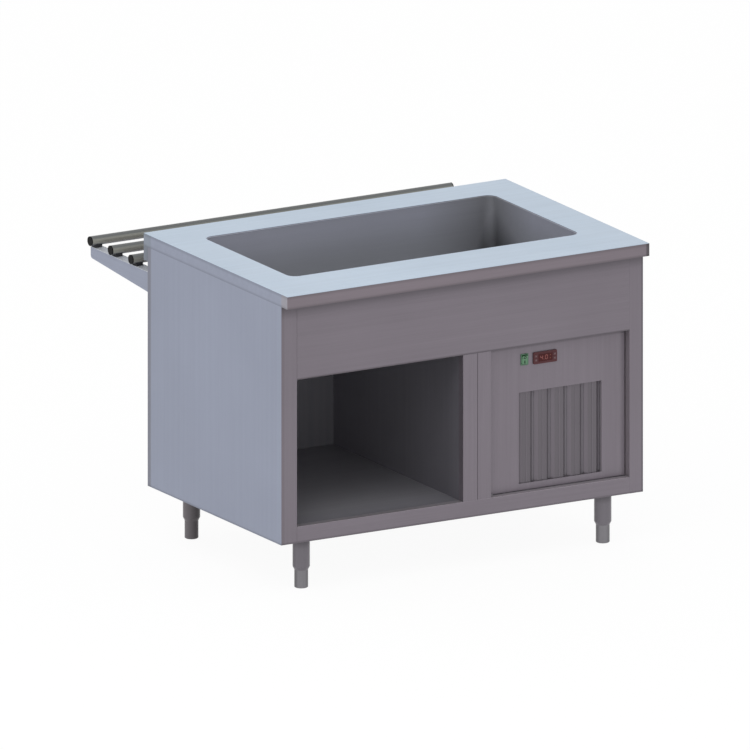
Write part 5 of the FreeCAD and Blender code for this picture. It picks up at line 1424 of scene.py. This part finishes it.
@dataclass
class ControllerFace(Assembly):
    """The lit digits, lamps and rim of the display, and the mark on each key."""

    rim_width: float = 0.0012
    rim_height: float = 0.0006
    rim_edge: float = 0.0002
    lift: float = 0.0002
    digit_half_width: float = 0.0036
    digit_half_height: float = 0.0058
    bar: float = 0.0017
    upright_cut: float = 0.7
    digit_places: tuple[float, float] = (-0.0125, 0.0035)
    dot_place: float = -0.0045
    lamp_place: float = 0.0165
    lamp_rise: float = 0.0045
    lamp_radius: float = 0.0012
    mark_size: float = 0.0021
    star_bars: int = 3
    star_line: float = 0.3
    star_step: float = 0.2
    square_side: float = 1.5
    square_line: float = 0.35

    def __post_init__(self) -> None:
        """Read the place and size of the display's window."""
        low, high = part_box("controller_window")
        self.middle: Vector = (low + high) / 2
        self.face: float = low.y
        self.span: Vector = high - low

    def build(self) -> None:
        """Make the display's pieces and the keys' marks."""
        self.fit(self.rim(), CONTROLLER_CASE, "controller_red", "service_door")
        self.fit(self.digits(), DIGIT, "display_window", "service_door")
        self.fit(self.lamps(), LAMP, "display_window", "service_door")
        marks = {"up": self.arrow, "down": self.arrow, "defrost": self.star, "set": self.square}
        for key, mark in marks.items():
            self.fit(mark(key), MARK, "key_plastic", f"key_{key}")

    def at(self, x: float, z: float) -> Point:
        """Give a point on the display's face."""
        return (self.middle.x + x, self.face, self.middle.z + z)

    def rim(self) -> Piece:
        """Raise a narrow rim round the window.

        Returns:
            The rim.
        """
        size = (self.span.x + 2 * self.rim_width, self.span.z + 2 * self.rim_width)
        rim = Bench.framed(Bench.plate("display_rim", self.at(0.0, 0.0), size, FRONT), self.rim_width)
        return Bench.bevelled(Bench.raise_face(rim, (0.0, -self.rim_height, 0.0)), self.rim_edge)

    def digits(self) -> Piece:
        """Set the bars of both digits and the dot between them.

        Returns:
            The lit bars and the dot.
        """
        bars = []
        for place, digit in zip(self.digit_places, (Digit.FOUR, Digit.ZERO)):
            for segment in digit.value:
                across, up, lies = segment.value
                spot = self.at(place + across * self.digit_half_width, up * self.digit_half_height)
                if lies:
                    size = (2 * self.digit_half_width - self.bar, self.bar)
                else:
                    size = (self.bar, self.digit_half_height - self.bar * self.upright_cut)
                bars.append(Bench.plate("bar", spot, size, FRONT))
        dot = self.at(self.dot_place, -self.digit_half_height)
        bars.append(Bench.plate("bar", dot, (self.bar, self.bar), FRONT))
        return Bench.raise_face(Bench.joined("display_digits", bars), (0.0, -self.lift, 0.0))

    def lamps(self) -> Piece:
        """Set two small round lamps beside the digits.

        Returns:
            Both lamps.
        """
        place = self.at(self.lamp_place, self.lamp_rise)
        first = Bench.disc("display_lamps", place, self.lamp_radius, FRONT, sides=16)
        both = Bench.copies(first, [(0.0, 0.0, -2 * self.lamp_rise)])
        return Bench.raise_face(Bench.joined("display_lamps", both), (0.0, -self.lift, 0.0))

    def on_key(self, key: str) -> Point:
        """Give the middle of a key's face."""
        low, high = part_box(f"controller_key_{key}")
        return ((low.x + high.x) / 2, low.y, (low.z + high.z) / 2)

    def arrow(self, key: str) -> Piece:
        """Mark a key with a triangle that points up or down.

        Args:
            key: The key, up or down.

        Returns:
            The mark.
        """
        mark = Bench.disc(f"mark_{key}", self.on_key(key), self.mark_size, FRONT, sides=3)
        heights = [vertex.co.z for vertex in mark.data.vertices]
        middle = (min(heights) + max(heights)) / 2
        points_up = sum(height > middle for height in heights) == 1
        if points_up != (key == "up"):
            Bench.swung(mark, math.pi, self.on_key(key))
        return Bench.raise_face(mark, (0.0, -self.lift, 0.0))

    def star(self, key: str) -> Piece:
        """Mark a key with crossed bars, each a little higher than the last.

        Args:
            key: The key.

        Returns:
            The mark.
        """
        bars = []
        size = (2 * self.mark_size, self.mark_size * self.star_line)
        for turn in range(self.star_bars):
            bar = Bench.plate("bar", self.on_key(key), size, FRONT)
            Bench.swung(bar, turn * math.pi / self.star_bars, self.on_key(key))
            bars.append(Bench.raise_face(bar, (0.0, -self.lift * (1.0 + self.star_step * turn), 0.0)))
        return Bench.joined(f"mark_{key}", bars)

    def square(self, key: str) -> Piece:
        """Mark a key with a small open square.

        Args:
            key: The key.

        Returns:
            The mark.
        """
        side = self.square_side * self.mark_size
        flat = Bench.plate(f"mark_{key}", self.on_key(key), (side, side), FRONT)
        mark = Bench.framed(flat, self.mark_size * self.square_line)
        return Bench.raise_face(mark, (0.0, -self.lift, 0.0))


@dataclass
class SwitchMarks(Assembly):
    """The open ring and the bar on the two halves of the rocker."""

    start: float = 0.01
    above: float = 0.0068
    ring_radius: float = 0.0045
    ring_line: float = 0.0020
    bar_size: tuple[float, float] = (0.0032, 0.0090)
    lift: float = 0.0002

    def build(self) -> None:
        """Lay both marks on the rocker's slopes."""
        low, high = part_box("switch_rocker")
        x, y, z = (low.x + high.x) / 2, low.y - self.start, (low.z + high.z) / 2
        ring = Bench.disc("switch_mark_off", (x, y, z + self.above), self.ring_radius, FRONT, sides=32)
        self.lay(Bench.framed(ring, self.ring_line))
        self.lay(Bench.plate("switch_mark_on", (x, y, z - self.above), self.bar_size, FRONT))

    def lay(self, mark: Piece) -> None:
        """Press a flat mark onto the rocker and give it its thickness.

        Args:
            mark: The flat mark, in front of the rocker.
        """
        reach = {"wrap_method": "PROJECT", "use_project_y": True, "use_positive_direction": True}
        Bench.modify(mark, "SHRINKWRAP", target=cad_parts["switch_rocker"], **reach)
        Bench.raise_face(mark, (0.0, -self.lift, 0.0))
        self.fit(mark, DARK_MARK, "switch_green", "switch_rocker")


@dataclass
class DoorScreen(Assembly):
    """The pressed screen plate behind the louvres, which keeps lint out."""

    gap: float = 0.0001
    border: float = 0.014
    land: float = 0.0015
    thickness: float = 0.0009
    margin: float = 0.0125
    looks_back: float = 0.9

    def build(self) -> None:
        """Make the plate, with its middle pressed out to the back."""
        low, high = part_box("louvre_grille")
        centre = ((low.x + high.x) / 2, high.y + self.gap + self.thickness, (low.z + high.z) / 2)
        size = (high.x - low.x - 2 * self.margin, high.z - low.z - 2 * self.margin)
        screen = Bench.plate("grille_screen", centre, size, FRONT)
        Bench.raise_face(screen, (0.0, -self.thickness, 0.0))
        Bench.edit(screen, "FACE", lambda part: part.normal.y > self.looks_back)
        bpy.ops.mesh.inset(thickness=self.border)
        bpy.ops.mesh.inset(thickness=self.land)
        Bench.pull((0.0, 2 * self.thickness, 0.0))
        self.fit(Bench.done(screen), SCREEN, "stainless_front", "service_door")


@dataclass
class FanGuard(Assembly):
    """The wire guard over the fan, welded to the ring of its shroud."""

    wire: float = 0.0009
    wire_sides: int = 8
    outer: float = 0.1046
    inner: tuple[float, ...] = (0.026, 0.046, 0.066, 0.086)
    spokes: int = 6
    first_spoke: float = math.pi / 6

    def build(self) -> None:
        """Make the rings, lay the spokes between them and join all of it."""
        low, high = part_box("fan_shroud")
        x, z = (low.x + high.x) / 2, (low.z + high.z) / 2
        first = high.y + self.wire * WIRE_SEAT
        crossed = first + 2 * self.wire
        parts = [Bench.ring("ring", (x, first, z), self.outer, self.wire, FRONT)]
        for radius in self.inner:
            parts.append(Bench.ring("ring", (x, crossed + 2 * self.wire, z), radius, self.wire, FRONT))
        for spoke in range(self.spokes):
            turn = self.first_spoke + spoke * 2 * math.pi / self.spokes
            across, up = math.cos(turn), math.sin(turn)
            start = (x + across * self.inner[0], crossed, z + up * self.inner[0])
            end = (x + across * self.outer, crossed, z + up * self.outer)
            parts.append(Bench.rod("spoke", start, end, self.wire, sides=self.wire_sides))
        self.fit(Bench.joined("fan_guard", parts), ZINC, "zinc_steel")


@dataclass
class Fasteners(Assembly):
    """Nuts, washers and screws that hold the compressor, the brackets, the shroud and the back."""

    nut_radius: float = 0.0068
    nut_height: float = 0.005
    nut_edge: float = 0.0005
    washer_radius: float = 0.0095
    washer_height: float = 0.0014
    stud_radius: float = 0.003
    stud_height: float = 0.009
    plate_sheet: float = 0.003
    mount_radius: float = 0.012
    bolt_reach: float = 0.0075
    bolt_rise: float = 0.030
    bolt_washer_radius: float = 0.0105
    bolt_washer_border: float = 0.004
    screw_radius: float = 0.0045
    screw_height: float = 0.0022
    rim_share: float = 0.6
    dome_inset: float = 0.25
    socket_inset: float = 0.35
    socket_depth: float = 0.5
    back_inset: float = 0.026
    back_start: float = 0.20
    back_pitch: float = 0.12
    back_screws_a_side: int = 5
    shroud_inset: float = 0.010
    shroud_frame: float = 0.030

    def build(self) -> None:
        """Make each kind once and copy it to its places."""
        self.fit(self.mount_nuts(), ZINC, "zinc_steel")
        self.fit(self.bolt_washers(), ZINC, "zinc_steel")
        self.fit(self.back_screws(), FOOT, "stainless_leg")
        self.fit(self.shroud_screws(), ZINC, "zinc_steel")

    def mount_nuts(self) -> Piece:
        """Tighten a nut on a washer over each rubber mount.

        Returns:
            The four nuts with their washers and studs.
        """
        low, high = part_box("compressor_mounts")
        x, y, z = low.x + self.mount_radius, low.y + self.mount_radius, high.z + self.plate_sheet
        washer = Bench.disc("washer", (x, y, z), self.washer_radius, UP)
        Bench.raise_face(washer, (0.0, 0.0, self.washer_height))
        nut = Bench.disc("nut", (x, y, z + self.washer_height), self.nut_radius, UP, sides=6)
        Bench.bevelled(Bench.raise_face(nut, (0.0, 0.0, self.nut_height)), self.nut_edge, segments=1)
        stud = Bench.rod("stud", (x, y, z), (x, y, z + self.stud_height), self.stud_radius, sides=16)
        first = Bench.joined("mount_nuts", [washer, nut, stud])
        across, along = high.x - low.x - 2 * self.mount_radius, high.y - low.y - 2 * self.mount_radius
        return Bench.at_corners(first, across, (0.0, along, 0.0))

    def bolt_washers(self) -> Piece:
        """Lay a washer round each bolt head of the two brackets.

        Returns:
            The four washers.
        """
        low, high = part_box("bracket_bolts")
        x = low.x + self.bolt_reach
        z = low.z + (high.z - low.z - self.bolt_rise) / 2
        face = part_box("tray_bracket_left")[0].y + self.plate_sheet
        flat = Bench.disc("bolt_washers", (x, face, z), self.bolt_washer_radius, FRONT, sides=32)
        washer = Bench.framed(flat, self.bolt_washer_border)
        Bench.raise_face(washer, (0.0, self.washer_height, 0.0))
        across = high.x - low.x - 2 * self.bolt_reach
        return Bench.at_corners(washer, across, (0.0, 0.0, self.bolt_rise))

    def screw(self, name: str, centre: Point) -> Piece:
        """Turn one round screw head that faces the back and has a sunk socket.

        Args:
            name: The piece's name.
            centre: The middle of its underside.

        Returns:
            The screw head.
        """
        height = Vector(BACK) * self.screw_height
        head = Bench.disc(name, centre, self.screw_radius, BACK, sides=20)
        Bench.edit(head, "FACE")
        Bench.pull(height * self.rim_share)
        bpy.ops.mesh.inset(thickness=self.screw_radius * self.dome_inset)
        bpy.ops.transform.translate(value=height * (1.0 - self.rim_share))
        bpy.ops.mesh.inset(thickness=self.screw_radius * self.socket_inset)
        Bench.pull(height * -self.socket_depth)
        return Bench.smooth(Bench.done(head))

    def back_screws(self) -> Piece:
        """Screw the back panel to the sides' returns in two rows.

        Returns:
            The screw heads of both rows.
        """
        low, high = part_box("left_side_panel")
        reach = -low.x - self.back_inset
        first = self.screw("back_screws", (-reach, high.y, self.back_start))
        steps = [self.back_pitch * step for step in range(self.back_screws_a_side)]
        moves = [(side, 0.0, step) for side in (0.0, 2 * reach) for step in steps]
        return Bench.joined("back_screws", Bench.copies(first, moves[1:]))

    def shroud_screws(self) -> Piece:
        """Screw the shroud to the condenser's frame at its corners.

        Returns:
            The four screw heads.
        """
        low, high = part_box("fan_shroud")
        place = (low.x + self.shroud_inset, low.y + self.shroud_frame, low.z + self.shroud_inset)
        across, up = high.x - low.x - 2 * self.shroud_inset, high.z - low.z - 2 * self.shroud_inset
        return Bench.at_corners(self.screw("shroud_screws", place), across, (0.0, 0.0, up))


@dataclass
class Plumbing(Assembly):
    """The union nut over the drain valve and the seal under the cable gland."""

    union_radius: float = 0.0265
    union_height: float = 0.012
    union_wall: float = 0.3
    union_edge: float = 0.001
    seal_wire: float = 0.0012

    def build(self) -> None:
        """Make the nut and the seal."""
        self.fit(self.union(), NICKEL, "brass_plated")
        self.fit(self.seal(), RUBBER, "rubber_black")

    def union(self) -> Piece:
        """Screw a six-sided ring round the drain pipe, onto the valve.

        Returns:
            The union nut.
        """
        low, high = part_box("drain_pipe")
        place = ((low.x + high.x) / 2, (low.y + high.y) / 2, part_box("drain_valve")[1].z)
        union = Bench.disc("drain_union", place, self.union_radius, UP, sides=6)
        Bench.framed(union, self.union_radius * self.union_wall)
        return Bench.bevelled(Bench.raise_face(union, (0.0, 0.0, self.union_height)), self.union_edge)

    def seal(self) -> Piece:
        """Lay a rubber ring round the gland on the machine floor.

        Returns:
            The seal.
        """
        low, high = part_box("cable_gland")
        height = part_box("machine_floor")[1].z + self.seal_wire * WIRE_SEAT
        centre = ((low.x + high.x) / 2, (low.y + high.y) / 2, height)
        return Bench.ring("gland_seal", centre, (high.x - low.x) / 2, self.seal_wire, UP)


# Studio
@dataclass(frozen=True)
class Studio:
    """The pale floor, the plain light and the camera.

    Attributes:
        target: The point in the middle of the picture.
        back: The direction from there to the camera.
        distance: How far away the camera stands.
        width: The width of the picture.
        clip_end: How far the camera sees.
        floor_size: The side of the floor.
        floor_white: How much of the floor's white the shadow leaves alone.
        sky_level: How strongly the surroundings light the counter.
        lamp_size: The side of the lamp.
        lamp_power: Its power in watts.
        lamp_place: Where it hangs.
        lamp_aim: What it points at.
    """

    target: Point = (-0.2889, -0.5376, 0.6184)
    back: Point = (-0.483, -0.8365, 0.2588)
    distance: float = 6.0
    width: float = 2.154
    clip_end: float = 100.0
    floor_size: float = 60.0
    floor_white: float = 0.94
    sky_level: float = 0.9
    lamp_size: float = 4.0
    lamp_power: float = 60.0
    lamp_place: Point = (-3.0, -2.5, 4.5)
    lamp_aim: Point = (0.0, 0.0, 0.5)

    def build(self) -> None:
        """Set up the whole studio."""
        self.lay_floor()
        self.light_world()
        self.hang_lamp()
        self.set_camera()
        bpy.context.scene.view_settings.view_transform = "Standard"

    @staticmethod
    def looks(graph: Graph) -> Socket:
        """Pick the rays that look, straight or in gloss or through glass.

        Args:
            graph: The tree that needs them.

        Returns:
            One for a ray that looks and nought for one that lights.
        """
        rays = graph.add("LightPath").outputs
        seen = graph.math("MAXIMUM", rays["Is Camera Ray"], rays["Is Glossy Ray"])
        return graph.math("MAXIMUM", seen, rays["Is Transmission Ray"])

    def lay_floor(self) -> None:
        """Lay a white floor that keeps a soft shadow of the counter."""
        floor = Bench.plate("studio_floor", (0.0, 0.0, 0.0), (self.floor_size, self.floor_size), UP)
        made = bpy.data.materials.new("studio_floor")
        made.use_nodes = True
        made.node_tree.nodes.clear()
        graph = Graph(made.node_tree)
        matt = graph.add("BsdfDiffuse", {"Color": WHITE}).outputs[0]
        white = graph.add("Emission", {"Color": WHITE, "Strength": 1.0}).outputs[0]
        share = graph.math("MULTIPLY", self.looks(graph), self.floor_white)
        mixed = graph.add("MixShader", {0: share, 1: matt, 2: white})
        graph.add("OutputMaterial", {"Surface": mixed.outputs[0]})
        floor.data.materials.append(made)

    def light_world(self) -> None:
        """Surround the counter with plain white light."""
        world = bpy.data.worlds.new("studio_world")
        world.use_nodes = True
        world.node_tree.nodes.clear()
        graph = Graph(world.node_tree)
        level = graph.math("MULTIPLY_ADD", self.looks(graph), 1.0 - self.sky_level, self.sky_level)
        sky = graph.add("Background", {"Color": WHITE, "Strength": level})
        graph.add("OutputWorld", {"Surface": sky.outputs[0]})
        bpy.context.scene.world = world

    def hang_lamp(self) -> None:
        """Hang one large soft lamp up on the left."""
        data = bpy.data.lights.new("studio_lamp", "AREA")
        data.size = self.lamp_size
        data.energy = self.lamp_power
        lamp = bpy.data.objects.new("studio_lamp", data)
        lamp.location = self.lamp_place
        lamp.rotation_mode = "QUATERNION"
        lamp.rotation_quaternion = (lamp.location - Vector(self.lamp_aim)).to_track_quat("Z", "Y")
        bpy.context.collection.objects.link(lamp)

    def set_camera(self) -> None:
        """Stand the camera where the counter shows as in the picture."""
        data = bpy.data.cameras.new("studio_camera")
        data.type = "ORTHO"
        data.ortho_scale = self.width
        data.clip_end = self.clip_end
        camera = bpy.data.objects.new("studio_camera", data)
        back = Vector(self.back).normalized()
        camera.location = Vector(self.target) + back * self.distance
        camera.rotation_mode = "QUATERNION"
        camera.rotation_quaternion = back.to_track_quat("Z", "Y")
        bpy.context.collection.objects.link(camera)
        bpy.context.scene.camera = camera


def dress_nodes() -> None:
    """Give every solid of the fixed counter its finish."""
    for finish, names in DRESS.items():
        for name in names:
            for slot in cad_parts[name].material_slots:
                slot.material = finish.material()
            log.info("node %s: %s", name, finish.name)
    missing = set(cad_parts) - {name for names in DRESS.values() for name in names}
    if missing:
        raise ValueError(f"nodes without a finish: {sorted(missing)}")


def main() -> None:
    """Dress the counter, add its fittings and set up the studio."""
    logging.basicConfig(level=logging.INFO, format="%(message)s", stream=sys.stdout)
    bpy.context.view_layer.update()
    Studio().build()
    dress_nodes()
    for assembly in (WellTrim, ControllerFace, SwitchMarks, DoorScreen, FanGuard, Fasteners, Plumbing):
        assembly().build()


if __name__ == "__main__":
    main()
